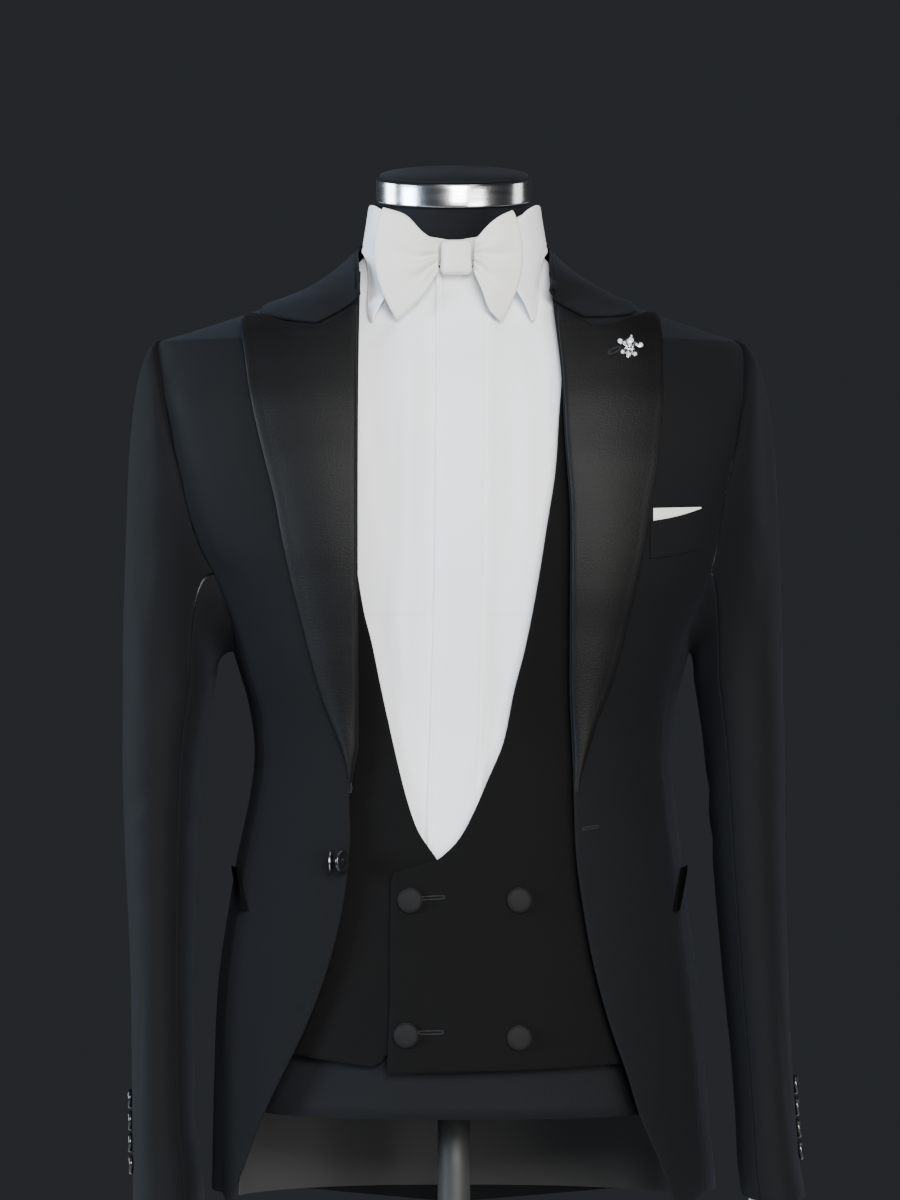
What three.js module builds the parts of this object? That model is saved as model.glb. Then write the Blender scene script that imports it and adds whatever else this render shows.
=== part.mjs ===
// A black tuxedo with a cutaway jacket, a double-breasted waistcoat, a white shirt and an ivory
// bow tie, on a limbless dress form that stands on a pole and a round base.
// Millimetres, +Z up, the front faces -Y. The origin is the centre of the base's underside.
// Heights in the tables are measured from the form's lower edge.
import * as THREE from "three";

const FORM_BOTTOM = 200;
const BASE_RADIUS = 160;
const BASE_THICKNESS = 12;
const POLE_RADIUS = 12.5;
const SEAM = 0.3;
const DEGREE = Math.PI / 180;

const WOOL_THICKNESS = 2.2;
const LINING_THICKNESS = 1;
const LINING_GAP = 2;
const SHIRT_THICKNESS = 1.2;
const CUFF_THICKNESS = 2;
const WAISTCOAT_THICKNESS = 2;
const SHIRT_OUT = 3.2;
const EASE = 1.5;
const NECK_BASE = 660;

const NECK_TILT = Math.tan(10 * DEGREE);
const BAND_BOTTOM = 708.3;
const BAND_HEIGHT = 18;
const BAND_RADIUS = 60;
const BAND_BEVEL = 1.5;
const TORSO_EDGE = 8.5;

// Half widths and depths of the dress form: [height, left, right, front, back, front power, back power]
const FORM = [
  [0, 160, 172, 96, 104, 2.3, 2.3],
  [90, 158, 168, 95, 102, 2.3, 2.3],
  [187, 145, 156, 92, 88, 2.3, 2.3],
  [284, 133, 146, 90, 66, 2.3, 2.3],
  [369, 150, 160, 103, 84, 2.3, 2.3],
  [440, 166, 168, 111, 97, 2.3, 2.3],
  [500, 178, 174, 108, 103, 2.2, 2.2],
  [550, 187, 180, 98, 99, 2.1, 2.1],
  [575, 193, 186, 89, 91, 1.9, 1.9],
  [589, 194, 187, 82, 85, 1.7, 1.7],
  [597, 187, 180, 79, 82, 1.55, 1.55],
  [612, 150, 144, 72, 74, 1.5, 1.5],
  [627, 120, 116, 67, 67, 1.55, 1.55],
  [642, 94, 92, 62, 60, 1.7, 1.7],
  [654, 76, 75, 59, 56, 1.85, 1.85],
  [665, 66, 66, 57, 54, 1.95, 1.95],
  [680, 60, 60, 56, 53, 2, 2],
  [705, 57, 57, 55, 52, 2, 2],
];

// The outside of the jacket body, in the same columns
const JACKET = [
  [-90, 189, 203, 112, 128, 2.4, 2.4],
  [-50, 187, 202, 112, 126, 2.4, 2.4],
  [0, 186, 197, 112, 124, 2.4, 2.4],
  [91, 183, 190, 112, 121, 2.4, 2.4],
  [187, 170, 178, 109, 108, 2.4, 2.4],
  [284, 154, 168, 107, 85, 2.4, 2.4],
  [369, 173, 184, 120, 101, 2.4, 2.4],
  [413, 192, 207, 126, 111, 2.4, 2.4],
  [440, 210, 217, 127, 115, 2.4, 2.4],
  [470, 222, 224, 126, 118, 2.4, 2.4],
  [500, 229, 230, 123, 119, 2.4, 2.4],
  [525, 234, 234, 118, 118, 2.3, 2.3],
  [550, 235, 234, 112, 114, 2.2, 2.2],
  [576, 233, 230, 103, 106, 1.9, 1.9],
  [592, 231, 225, 97, 100, 1.65, 1.65],
  [599, 228, 219, 94, 97, 1.55, 1.55],
  [606, 207, 200, 92, 94, 1.5, 1.5],
  [614, 182, 176, 89, 90, 1.5, 1.5],
  [625, 149, 144, 85, 85, 1.5, 1.5],
  [634, 123, 121, 82, 81, 1.5, 1.5],
  [640, 110, 110, 80, 78, 1.55, 1.55],
  [648, 97, 96, 76.5, 74.5, 1.62, 1.62],
  [655, 89, 87, 73, 71, 1.7, 1.7],
  [667, 78, 76, 67, 66, 1.85, 1.85],
];

// The turned-down leaf of the shirt collar, in the same columns
const COLLAR_LEAF = [
  [600, 81, 78, 98, 80, 2.5, 2.2],
  [617, 80, 77, 93, 76, 2.5, 2.2],
  [640, 76, 75, 87, 72, 2.2, 2.1],
  [662, 72.5, 73.5, 76, 67, 2, 2],
  [690, 68, 69, 67, 63, 2, 2],
  [718, 64, 65, 63, 60, 2, 2],
];

const clamp = THREE.MathUtils.clamp;
const lerp = THREE.MathUtils.lerp;
const smooth = THREE.MathUtils.smoothstep;

// One column of a table at a position, by a monotone cubic through its rows
function tableAt(table, position, column = 1) {
  const last = table.length - 1;
  const at = clamp(position, table[0][0], table[last][0]);
  let row = 0;
  while (row < last - 1 && at > table[row + 1][0]) row += 1;
  const slope = (k) => (table[k + 1][column] - table[k][column]) / (table[k + 1][0] - table[k][0]);
  const tangent = (k) => {
    if (k === 0) return slope(0);
    if (k === last) return slope(last - 1);
    const before = slope(k - 1);
    const after = slope(k);
    return before * after <= 0 ? 0 : (2 * before * after) / (before + after);
  };
  const width = table[row + 1][0] - table[row][0];
  const t = (at - table[row][0]) / width;
  const start = table[row][column];
  const end = table[row + 1][column];
  const blend = t * t * (3 - 2 * t);
  const leave = t * (1 - t) * (1 - t) * width * tangent(row);
  const arrive = -t * t * (1 - t) * width * tangent(row + 1);
  return lerp(start, end, blend) + leave + arrive;
}

// The point of a shape's superellipse at an angle in degrees: 0 in front, 90 at +X, 180 behind
function sectionPoint(shape, angle, height) {
  const sine = Math.sin(angle * DEGREE);
  const cosine = Math.cos(angle * DEGREE);
  const halfWidth = tableAt(shape, height, sine < 0 ? 1 : 2);
  const depth = tableAt(shape, height, cosine > 0 ? 3 : 4);
  const power = 2 / tableAt(shape, height, cosine > 0 ? 5 : 6);
  const x = Math.sign(sine) * halfWidth * Math.abs(sine) ** power;
  const y = -Math.sign(cosine) * depth * Math.abs(cosine) ** power;
  return new THREE.Vector3(x, y, height);
}

// The angle at which a shape has a given x, in front or behind
function angleAt(shape, x, height, behind = false) {
  const halfWidth = tableAt(shape, height, x < 0 ? 1 : 2);
  const power = tableAt(shape, height, behind ? 6 : 5);
  const angle = Math.asin(Math.min(1, Math.abs(x) / halfWidth) ** (power / 2)) / DEGREE;
  return Math.sign(x) * (behind ? 180 - angle : angle);
}

// A point on a shape moved out by a distance, with the outward normal there
function onShape(shape, angle, height, out = 0) {
  const aside = sectionPoint(shape, angle + 1, height).sub(sectionPoint(shape, angle - 1, height));
  const upward = sectionPoint(shape, angle, height + 2).sub(sectionPoint(shape, angle, height - 2));
  const normal = aside.cross(upward).normalize();
  const point = sectionPoint(shape, angle, height).addScaledVector(normal, out);
  return { point, normal };
}

// A closed wall from a grid of points and normals: [row][column], thickness inwards
function wall(grid, thickness, ring = false) {
  const rows = grid.length;
  const columns = grid[0].length;
  const thicknessAt = typeof thickness === "function" ? thickness : () => thickness;
  const positions = [];
  grid.forEach((row, j) => {
    row.forEach(({ point }) => positions.push(point.x, point.y, point.z));
    row.forEach(({ point, normal }, i) => {
      const inner = point.clone().addScaledVector(normal, -thicknessAt(i / (columns - 1), j / (rows - 1)));
      positions.push(inner.x, inner.y, inner.z);
    });
  });
  const outer = (j, i) => 2 * j * columns + (i % columns);
  const inner = (j, i) => outer(j, i) + columns;
  const index = [];
  const quad = (a, b, c, d) => index.push(a, b, c, a, c, d);
  const spans = ring ? columns : columns - 1;
  for (let j = 0; j < rows - 1; j += 1) {
    for (let i = 0; i < spans; i += 1) {
      quad(outer(j, i), outer(j, i + 1), outer(j + 1, i + 1), outer(j + 1, i));
      quad(inner(j, i), inner(j + 1, i), inner(j + 1, i + 1), inner(j, i + 1));
    }
  }
  for (let i = 0; i < spans; i += 1) {
    quad(outer(0, i), inner(0, i), inner(0, i + 1), outer(0, i + 1));
    quad(outer(rows - 1, i), outer(rows - 1, i + 1), inner(rows - 1, i + 1), inner(rows - 1, i));
  }
  if (!ring) {
    for (let j = 0; j < rows - 1; j += 1) {
      quad(outer(j, 0), outer(j + 1, 0), inner(j + 1, 0), inner(j, 0));
      const end = columns - 1;
      quad(outer(j, end), inner(j, end), inner(j + 1, end), outer(j + 1, end));
    }
  }
  return outward(positions, index);
}

// A solid through a stack of closed rings, capped flat at both ends
function stack(rings) {
  const columns = rings[0].length;
  const positions = rings.flat().flatMap((point) => [point.x, point.y, point.z]);
  const index = [];
  for (let j = 0; j < rings.length - 1; j += 1) {
    for (let i = 0; i < columns; i += 1) {
      const a = j * columns + i;
      const b = j * columns + ((i + 1) % columns);
      index.push(a, b, b + columns, a, b + columns, a + columns);
    }
  }
  const top = (rings.length - 1) * columns;
  for (let i = 1; i < columns - 1; i += 1) {
    index.push(0, i + 1, i, top, top + i, top + i + 1);
  }
  return outward(positions, index);
}

// A geometry whose faces point out, whichever way its triangles were listed
function outward(positions, index) {
  const corner = (k) => new THREE.Vector3().fromArray(positions, 3 * index[k]);
  let volume = 0;
  for (let k = 0; k < index.length; k += 3) {
    volume += corner(k).dot(corner(k + 1).cross(corner(k + 2)));
  }
  const facing = volume > 0 ? index : index.slice().reverse();
  const geometry = new THREE.BufferGeometry();
  geometry.setAttribute("position", new THREE.Float32BufferAttribute(positions, 3));
  geometry.setIndex(facing);
  geometry.computeVertexNormals();
  return geometry;
}

// A grid of surface samples: place(s, t) with s across and t up
function grid(columns, rows, place) {
  const line = (j) => Array.from({ length: columns + 1 }, (_, i) => place(i / columns, j / rows));
  return Array.from({ length: rows + 1 }, (_, j) => line(j));
}

// The same with a closed loop across, so the last column isn't repeated
function loop(columns, rows, place) {
  const line = (j) => Array.from({ length: columns }, (_, i) => place(i / columns, j / rows));
  return Array.from({ length: rows + 1 }, (_, j) => line(j));
}

// Normals of a grid of bare points from its neighbours, pointing away from the axis side given
function withNormals(points, ring = false) {
  const columns = points[0].length;
  const near = (row, i) => row[ring ? (i + columns) % columns : clamp(i, 0, columns - 1)];
  return points.map((row, j) => row.map((point, i) => {
    const aside = near(row, i + 1).clone().sub(near(row, i - 1));
    const above = near(points[Math.min(j + 1, points.length - 1)], i);
    const below = near(points[Math.max(j - 1, 0)], i);
    return { point, normal: aside.cross(above.clone().sub(below)).normalize() };
  }));
}

// A value from a list of evenly spaced entries, straight between them
function fromList(list, t) {
  const at = t * (list.length - 1);
  const k = Math.min(Math.floor(at), list.length - 2);
  return lerp(list[k], list[k + 1], at - k);
}

const finish = (color, roughness, metalness = 0) => ({ color, roughness, metalness });
const WOOL = finish(0x101216, 0.85);
const SATIN = finish(0x17181b, 0.45);
const LINING = finish(0x1c1d1f, 0.6);
const WAISTCOAT_WOOL = finish(0x0d0e11, 0.85);
const COTTON = finish(0xe8ecf2, 0.75);
const IVORY = finish(0xe6e6df, 0.7);
const CHROME = finish(0xc4c8cc, 0.15, 1);
const JERSEY = finish(0x111316, 0.9);
const STAND_GREY = finish(0x242629, 0.5, 0.4);
const GLOSS_BUTTON = finish(0x08080a, 0.2);
const SILVER = finish(0xd2d6da, 0.2, 1);

const group = new THREE.Group();
const worn = new THREE.Group();
worn.position.z = FORM_BOTTOM;
group.add(worn);

function add(name, geometry, look, parent = worn) {
  const mesh = new THREE.Mesh(geometry, new THREE.MeshStandardMaterial(look));
  mesh.name = name;
  parent.add(mesh);
  return mesh;
}

// Stand: base plate and pole
function makeStand() {
  const bevel = 3;
  const profile = [
    new THREE.Vector2(0, 0),
    new THREE.Vector2(BASE_RADIUS, 0),
    new THREE.Vector2(BASE_RADIUS, BASE_THICKNESS - bevel),
    new THREE.Vector2(BASE_RADIUS - bevel, BASE_THICKNESS),
    new THREE.Vector2(0, BASE_THICKNESS),
  ];
  const plate = new THREE.LatheGeometry(profile, 40);
  plate.rotateX(Math.PI / 2);
  add("stand_base", plate, STAND_GREY, group);
  const length = FORM_BOTTOM + TORSO_EDGE - BASE_THICKNESS - 2 * SEAM;
  const pole = new THREE.CylinderGeometry(POLE_RADIUS, POLE_RADIUS, length, 24);
  pole.rotateX(Math.PI / 2);
  const placed = add("stand_pole", pole, STAND_GREY, group);
  placed.position.z = BASE_THICKNESS + SEAM + length / 2;
}

// Dress form: a torso whose neck is cut aslant, a chrome band round the top and a domed cap
const FORM_COLUMNS = 24;
const FORM_LEVELS = [
  TORSO_EDGE, 90, 187, 240, 290, 340, 385, 440, 500, 545, 562, 575,
  589, 597, 612, 627, 642, 654, 662, 670, 681, BAND_BOTTOM,
];

function tilted(point, from = 690) {
  const share = smooth(point.z, from, BAND_BOTTOM);
  point.z += point.y * NECK_TILT * share;
  return point;
}

function makeForm() {
  const ring = (height) => Array.from({ length: FORM_COLUMNS }, (_, i) => {
    const inside = height < NECK_BASE ? -EASE : 0;
    const { point } = onShape(FORM, (360 * i) / FORM_COLUMNS, height, inside);
    return tilted(point.setZ(height));
  });
  add("form_torso", stack(FORM_LEVELS.map(ring)), JERSEY);

  const bandRing = (radius, above) => Array.from({ length: FORM_COLUMNS }, (_, i) => {
    const angle = (2 * Math.PI * i) / FORM_COLUMNS;
    const point = new THREE.Vector3(radius * Math.sin(angle), -1.5 - (radius - 2) * Math.cos(angle), 0);
    point.z = BAND_BOTTOM + SEAM + above + point.y * NECK_TILT;
    return point;
  });
  const levels = [
    [BAND_RADIUS - BAND_BEVEL, 0],
    [BAND_RADIUS, BAND_BEVEL],
    [BAND_RADIUS, BAND_HEIGHT - BAND_BEVEL],
    [BAND_RADIUS - BAND_BEVEL, BAND_HEIGHT],
  ];
  add("form_neck_band", stack(levels.map(([radius, above]) => bandRing(radius, above))), CHROME);

  const dome = [[57, SEAM], [56, 3], [45, 6], [25, 8]];
  add("form_neck_cap", stack(dome.map(([radius, above]) => bandRing(radius, BAND_HEIGHT + above))), JERSEY);
}

// Armhole of the jacket in the plane of angle and height, by a turn v: 0 front, 90 top, 270 below
const ARMHOLE_MIDDLE = 480;
const ARMHOLE_RISE = 119.5;
const ARMHOLE_OPENING = 25.5;
const ARMHOLE_GAP = 0.9;
const ARMHOLE_GAP_ANGLE = 0.9;
const SIDE_SEAM_TURN = -42;

function armholeAt(turn, within = 0) {
  const sine = Math.sin(turn * DEGREE);
  const share = Math.abs(Math.cos(turn * DEGREE)) ** (1 + 0.35 * sine);
  const half = Math.max(0, ARMHOLE_OPENING * share - ARMHOLE_GAP_ANGLE * within);
  return { half, height: ARMHOLE_MIDDLE + (ARMHOLE_RISE - ARMHOLE_GAP * within) * sine };
}

// How far the armhole is open to one side of the shoulder line at a height, in degrees
function armholeHalf(height) {
  const sine = clamp((height - ARMHOLE_MIDDLE) / ARMHOLE_RISE, -1, 1);
  return armholeAt(Math.asin(sine) / DEGREE).half;
}

const SIDE_SEAM_TOP = armholeAt(SIDE_SEAM_TURN).height;
const seamShare = 0.15;

// The outer boundary of a front or back panel, in degrees from the side line
function openingAt(height) {
  return armholeHalf(Math.max(height, SIDE_SEAM_TOP)) + seamShare;
}

// Edges of the jacket: [height, x]
const ROLL_LEFT = [[-70, -170], [-52, -169], [-35, -162], [-7, -152], [27, -137], [65, -118], [103, -102],
  [141, -90], [187, -81], [228, -78], [247, -79], [274, -75], [291, -72], [622, -72], [667, -72]];
const ROLL_RIGHT = [[-70, 172], [-52, 166], [-18, 153], [10, 141], [45, 130], [70, 121], [99, 112],
  [136, 103], [171, 97], [199, 93], [228, 91], [271, 90], [343, 87], [458, 87], [524, 83], [569, 81],
  [613, 77], [657, 73], [667, 72]];
const FRONT_LEVELS = [
  -64, -25, 25, 75, 130, 185, 240, 290, 340, 375, 400, 430, 465, 505, 540, 568, 578, 586, 592, 596, 598.5,
  600, 612, 626, 640, 652,
];
const BACK_LEVELS = FRONT_LEVELS.map((height, k) => (k === 0 ? -82 : height));

function makeJacketBody() {
  [[-1, "left", ROLL_LEFT], [1, "right", ROLL_RIGHT]].forEach(([side, word, roll]) => {
    const front = grid(7, FRONT_LEVELS.length - 1, (s, t) => {
      const level = fromList(FRONT_LEVELS, t);
      const height = level + (level < 0 ? 12 * s * (-level / 64) : 0);
      const from = angleAt(JACKET, tableAt(roll, level), height);
      const to = side * (90 - openingAt(height));
      return onShape(JACKET, lerp(from, to, s ** 0.85), height);
    });
    add(`jacket_front_${word}`, wall(front, WOOL_THICKNESS), WOOL);

    const back = grid(6, BACK_LEVELS.length - 1, (s, t) => {
      const level = fromList(BACK_LEVELS, t);
      const height = level + (level < 0 ? 26 * s * (-level / 82) : 0);
      const from = side * (180 - seamShare);
      const to = side * (90 + openingAt(height));
      return onShape(JACKET, lerp(from, to, s), height);
    });
    add(`jacket_back_${word}`, wall(back, WOOL_THICKNESS), WOOL);

    const panel = grid(8, 8, (s, t) => {
      const turn = lerp(SIDE_SEAM_TURN, -180 - SIDE_SEAM_TURN, s);
      const { half, height: top } = armholeAt(turn);
      const fore = s < 0.5 ? 1 : -1;
      const angle = side * (90 - fore * Math.max(0, half - seamShare));
      const bottom = lerp(-52, -56, s);
      return onShape(JACKET, angle, lerp(bottom, top, t));
    });
    add(`jacket_side_${word}`, wall(panel, WOOL_THICKNESS), WOOL);
  });

  const lining = grid(8, 4, (s, t) => {
    const angle = lerp(115, 245, s);
    return onShape(JACKET, angle, lerp(-68, 120, t), -WOOL_THICKNESS - LINING_GAP);
  });
  add("jacket_lining", wall(lining, LINING_THICKNESS), LINING);
}

// Sleeves: [height, outer x, inner x, middle y, half depth]
const SLEEVE_LEFT = [
  [-70, 246, 191, -22, 54],
  [-30, 246.6, 194.3, -20, 55],
  [0, 247, 198.5, -18, 57],
  [104, 248.5, 199.5, -12, 63],
  [222, 254, 196.6, -4, 70],
  [284, 255.7, 192.7, 0, 73],
  [340, 255.7, 184, 2, 72],
];
const SLEEVE_RIGHT = [
  [-56, 270, 221, -22, 54],
  [-30, 265.5, 218.3, -20, 55],
  [0, 262.5, 217, -18, 57],
  [104, 257.7, 208, -12, 63],
  [222, 255.4, 198.5, -4, 70],
  [284, 255.4, 193.9, 0, 73],
  [340, 254, 186, 2, 72],
];
const SLEEVE_RING = 340;
const BACK_SEAM = [[-70, 98], [60, 110], [340, 146], [600, 150]];
const FRONT_SEAM = -30;

// A point of a tube of ovals at a turn and height, moved in by a distance
function sleevePoint(table, side, turn, height, inset = 0) {
  const outer = tableAt(table, height, 1);
  const inner = tableAt(table, height, 2);
  const halfWidth = (outer - inner) / 2 - inset;
  const halfDepth = tableAt(table, height, 4) - inset;
  const sine = Math.sin(turn * DEGREE);
  const cosine = Math.cos(turn * DEGREE);
  const power = 2 / 2.3;
  const x = (outer + inner) / 2 + Math.sign(sine) * halfWidth * Math.abs(sine) ** power;
  const y = tableAt(table, height, 3) - Math.sign(cosine) * halfDepth * Math.abs(cosine) ** power;
  return new THREE.Vector3(side * x, y, height);
}

// The head of a sleeve: a curve from an armhole point out and down to the tube's first ring
function headPoint(start, end, rise, share) {
  const control = new THREE.Vector3(end.x, end.y, start.z + rise);
  const curve = new THREE.QuadraticBezierCurve3(start, control, end);
  return curve.getPoint(share);
}

const HEAD_SHARES = [0, 0.14, 0.32, 0.52, 0.76];

// A point of a jacket sleeve at a turn and a step: first the head, then the rings below it
function sleeveSurface(table, side, turn, step, lower) {
  const ring = step - HEAD_SHARES.length;
  if (ring >= 0) return sleevePoint(table, side, turn, lower[ring]);
  const { half, height } = armholeAt(turn, 1);
  const fore = Math.cos(turn * DEGREE) > 0 ? 1 : -1;
  const start = onShape(JACKET, side * (90 - fore * half), height).point;
  const end = sleevePoint(table, side, turn, SLEEVE_RING);
  return headPoint(start, end, 6 * Math.max(0, Math.sin(turn * DEGREE)), HEAD_SHARES[step]);
}

// The same with the normal that points out of the sleeve
function sleeveSample(table, side, turn, step, lower) {
  const last = HEAD_SHARES.length + lower.length - 1;
  const at = (aside, down) => sleeveSurface(table, side, turn + aside, clamp(step + down, 0, last), lower);
  const across = at(4, 0).sub(at(-4, 0));
  const along = at(0, 1).sub(at(0, -1));
  return { point: at(0, 0), normal: across.cross(along).multiplyScalar(-side).normalize() };
}

const SEAM_TURN = 0.4;

function makeSleeves() {
  [[-1, "left", SLEEVE_LEFT], [1, "right", SLEEVE_RIGHT]].forEach(([side, word, table]) => {
    const hem = table[0][0];
    const lower = [SLEEVE_RING, 284, 222, 160, 104, 50, 0, hem / 2, hem];
    const rows = HEAD_SHARES.length + lower.length - 1;
    const build = (startOf, endOf) => grid(7, rows, (s, t) => {
      const seam = tableAt(BACK_SEAM, lerp(600, hem, t));
      const turn = lerp(startOf(seam) + SEAM_TURN, endOf(seam) - SEAM_TURN, s);
      return sleeveSample(table, side, turn, Math.round(t * rows), lower);
    });
    const top = build(() => FRONT_SEAM, (seam) => seam);
    const under = build((seam) => seam, () => 360 + FRONT_SEAM);
    add(`jacket_top_sleeve_${word}`, wall(top, WOOL_THICKNESS), WOOL);
    add(`jacket_under_sleeve_${word}`, wall(under, WOOL_THICKNESS), WOOL);
  });
}

// Normals that point out of a tube whichever side of the body it hangs
function orient(points, side, ring) {
  return withNormals(points, ring).map((row) => row.map(({ point, normal }) => (
    { point, normal: normal.multiplyScalar(-side) }
  )));
}

// Jacket collar: it folds round the neck, and its leaf lies on the shoulders up to the lapels
// [share from the front to the centre back, fold x, y and height, body angle and height under the fold,
// angle and height at the outer edge]
const COLLAR_CURVE = [
  [0, 73, -72, 629.5, 36, 629.5, 38, 609],
  [0.12, 73.2, -60, 642, 48, 640, 54, 614],
  [0.25, 73, -42, 655, 62, 651, 74, 623],
  [0.5, 74, 0, 669, 92, 660, 98, 632],
  [0.75, 61, 45, 682, 132, 662, 132, 640],
  [1, 0, 73, 689, 180, 664, 180, 643],
];
const COLLAR_LIFT = 1.6;
// How much further out and up its right front end lies than the left one, column by column
const COLLAR_RIGHT_SHIFT = [0, 3, 0, 5, 2, 5, 2, 4.5];

function makeJacketCollar() {
  const leaf = grid(20, 4, (s, t) => {
    const share = 1 - Math.abs(2 * s - 1);
    const side = s < 0.5 ? -1 : 1;
    const apart = side > 0 ? (1 - share) ** 6 : 0;
    const at = (column) => tableAt(COLLAR_CURVE, share, column) + COLLAR_RIGHT_SHIFT[column] * apart;
    const fold = new THREE.Vector3(side * at(1), at(2), at(3) + WOOL_THICKNESS);
    const out = WOOL_THICKNESS + COLLAR_LIFT;
    const laid = onShape(JACKET, side * lerp(at(4), at(6), t), lerp(at(5), at(7), t), out).point;
    return fold.lerp(laid, smooth(t, 0, 0.55));
  });
  const facing = withNormals(leaf).map((row) => row.map(({ point, normal }) => (
    { point, normal: normal.z < 0 ? normal.negate() : normal }
  )));
  add("jacket_collar", wall(facing, WOOL_THICKNESS), WOOL);
}

// Lapels: [height, x] of the outer edge and [share, height] of the top edge with its notch
const LAPEL_LEFT = [[250, -77.5], [277, -81], [329, -99], [382, -113], [441, -127], [477, -134], [508, -142],
  [536, -149], [565, -155], [587, -158], [607, -161], [615, -160]];
const LAPEL_RIGHT = [[247, 93.5], [257, 94], [279, 99], [308, 107], [337, 118], [366, 126], [392, 132],
  [419, 138], [448, 144], [477, 148], [503, 153], [530, 156], [556, 158], [587, 158], [614, 156]];
const LAPEL_TOP_LEFT = [[0, 623], [0.4, 602.5], [0.7, 609], [0.94, 615], [1, 610]];
const LAPEL_TOP_RIGHT = [[0, 623], [0.42, 604], [0.7, 610.5], [0.94, 616], [1, 610.5]];
const LAPEL_LEVELS = [254, 290, 340, 375, 400, 430, 465, 505, 540, 570, 588];
const LAPEL_COLUMNS = [0, 0.14, 0.28, 0.4, 0.58, 0.78, 0.94, 1];

const LAPEL_GAP = 0.7;
const LAPEL_ROLL = 3;
const LAPEL_TOP_LEVEL = 610;

// How far the outside of a lapel stands off the front: more at its middle and near the peak
function lapelOut(height, s) {
  const atPeak = 0.5 * smooth(height, 590, 612) + 2 * smooth(height, 560, 600) * smooth(s, 0.2, 0.7);
  const rolled = LAPEL_ROLL * Math.sin(Math.PI * Math.min(1, s * 0.92));
  return WOOL_THICKNESS + LAPEL_GAP + atPeak + rolled;
}

function makeLapels() {
  [
    ["left", LAPEL_LEFT, ROLL_LEFT, LAPEL_TOP_LEFT],
    ["right", LAPEL_RIGHT, ROLL_RIGHT, LAPEL_TOP_RIGHT],
  ].forEach(([word, edge, roll, top]) => {
    const rows = LAPEL_LEVELS.length;
    const lapel = grid(LAPEL_COLUMNS.length - 1, rows, (across, t) => {
      const s = fromList(LAPEL_COLUMNS, across);
      const step = Math.round(t * rows);
      const height = step === rows ? tableAt(top, s) : LAPEL_LEVELS[step];
      const level = Math.min(height, LAPEL_TOP_LEVEL);
      const x = lerp(tableAt(roll, level) * 1.004, tableAt(edge, level), s);
      return onShape(JACKET, angleAt(JACKET, x, height), height, lapelOut(height, s));
    });
    add(`jacket_lapel_${word}`, wall(lapel, WOOL_THICKNESS), SATIN);
  });
}

// Lapel pin: a fleur-de-lis cut from plate and laid on the lapel. Half outline from the tip to the foot
const PIN = { x: 130.7, height: 586.8, lean: -9, thickness: 1.6, gap: 0.7 };
const PIN_HALF = [[0, 8.9], [2.4, 6.8], [3.9, 4.2], [3.4, 1.8], [4.6, 2.8], [6, 4.6], [7.8, 5.2], [9.7, 4],
  [10.2, 2], [9.2, 0], [7.4, -0.6], [5.4, -0.7], [5.1, -2.4], [6.8, -3.6], [7.6, -5.6], [6.4, -7.2],
  [4.4, -7], [2.4, -5.8], [1.7, -8], [0, -8.8]];

function makePin() {
  const mirrored = PIN_HALF.slice(1, -1).reverse().map(([x, y]) => [-x, y]);
  const outline = [...PIN_HALF, ...mirrored].map(([x, y]) => new THREE.Vector2(x, y));
  const shape = new THREE.Shape(outline);
  const plate = new THREE.ExtrudeGeometry(shape, { depth: PIN.thickness, bevelEnabled: false });
  const spots = plate.getAttribute("position");
  const cosine = Math.cos(PIN.lean * DEGREE);
  const sine = Math.sin(PIN.lean * DEGREE);
  for (let k = 0; k < spots.count; k += 1) {
    const x = PIN.x + spots.getX(k) * cosine - spots.getY(k) * sine;
    const height = PIN.height + spots.getX(k) * sine + spots.getY(k) * cosine;
    const roll = tableAt(ROLL_RIGHT, height);
    const share = (x - roll) / (tableAt(LAPEL_RIGHT, height) - roll);
    const out = lapelOut(height, share) + PIN.gap + spots.getZ(k);
    const { point } = onShape(JACKET, angleAt(JACKET, x, height), height, out);
    spots.setXYZ(k, point.x, point.y, point.z);
  }
  plate.computeVertexNormals();
  add("jacket_lapel_pin", plate, SILVER);
}

// A strip that lies on the jacket between two angles and two edges
function makeStrip(name, x, heights, out, thickness, look, columns = 4) {
  const strip = grid(columns, 2, (s, t) => {
    const lower = lerp(heights[0][0], heights[0][1], s);
    const upper = lerp(heights[1][0], heights[1][1], s);
    const height = lerp(lower, upper, t);
    return onShape(JACKET, angleAt(JACKET, lerp(x[0], x[1], s), height), height, out + thickness);
  });
  add(name, wall(strip, thickness), look);
}

const JETTING = { low: 163, high: 195, width: 5, slant: 8, out: 3.3, thickness: 1.4 };

function makePockets() {
  makeStrip("jacket_breast_welt", [147, 186], [[431, 439], [459, 467]], 0.6, 1.6, WOOL);
  makeStrip("pocket_square", [149, 186], [[460, 468], [469, 470.5]], 0.8, 1.2, COTTON);
  [[-1, "left", -158], [1, "right", 167]].forEach(([side, word, lowX]) => {
    const jetting = grid(2, 3, (s, t) => {
      const height = lerp(JETTING.low, JETTING.high, t);
      const x = lowX + side * (JETTING.slant * t + JETTING.width * (s - 0.5));
      return onShape(JACKET, angleAt(JACKET, x, height), height, JETTING.out);
    });
    add(`jacket_jetting_${word}`, wall(jetting, JETTING.thickness), SATIN);
  });
}

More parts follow.
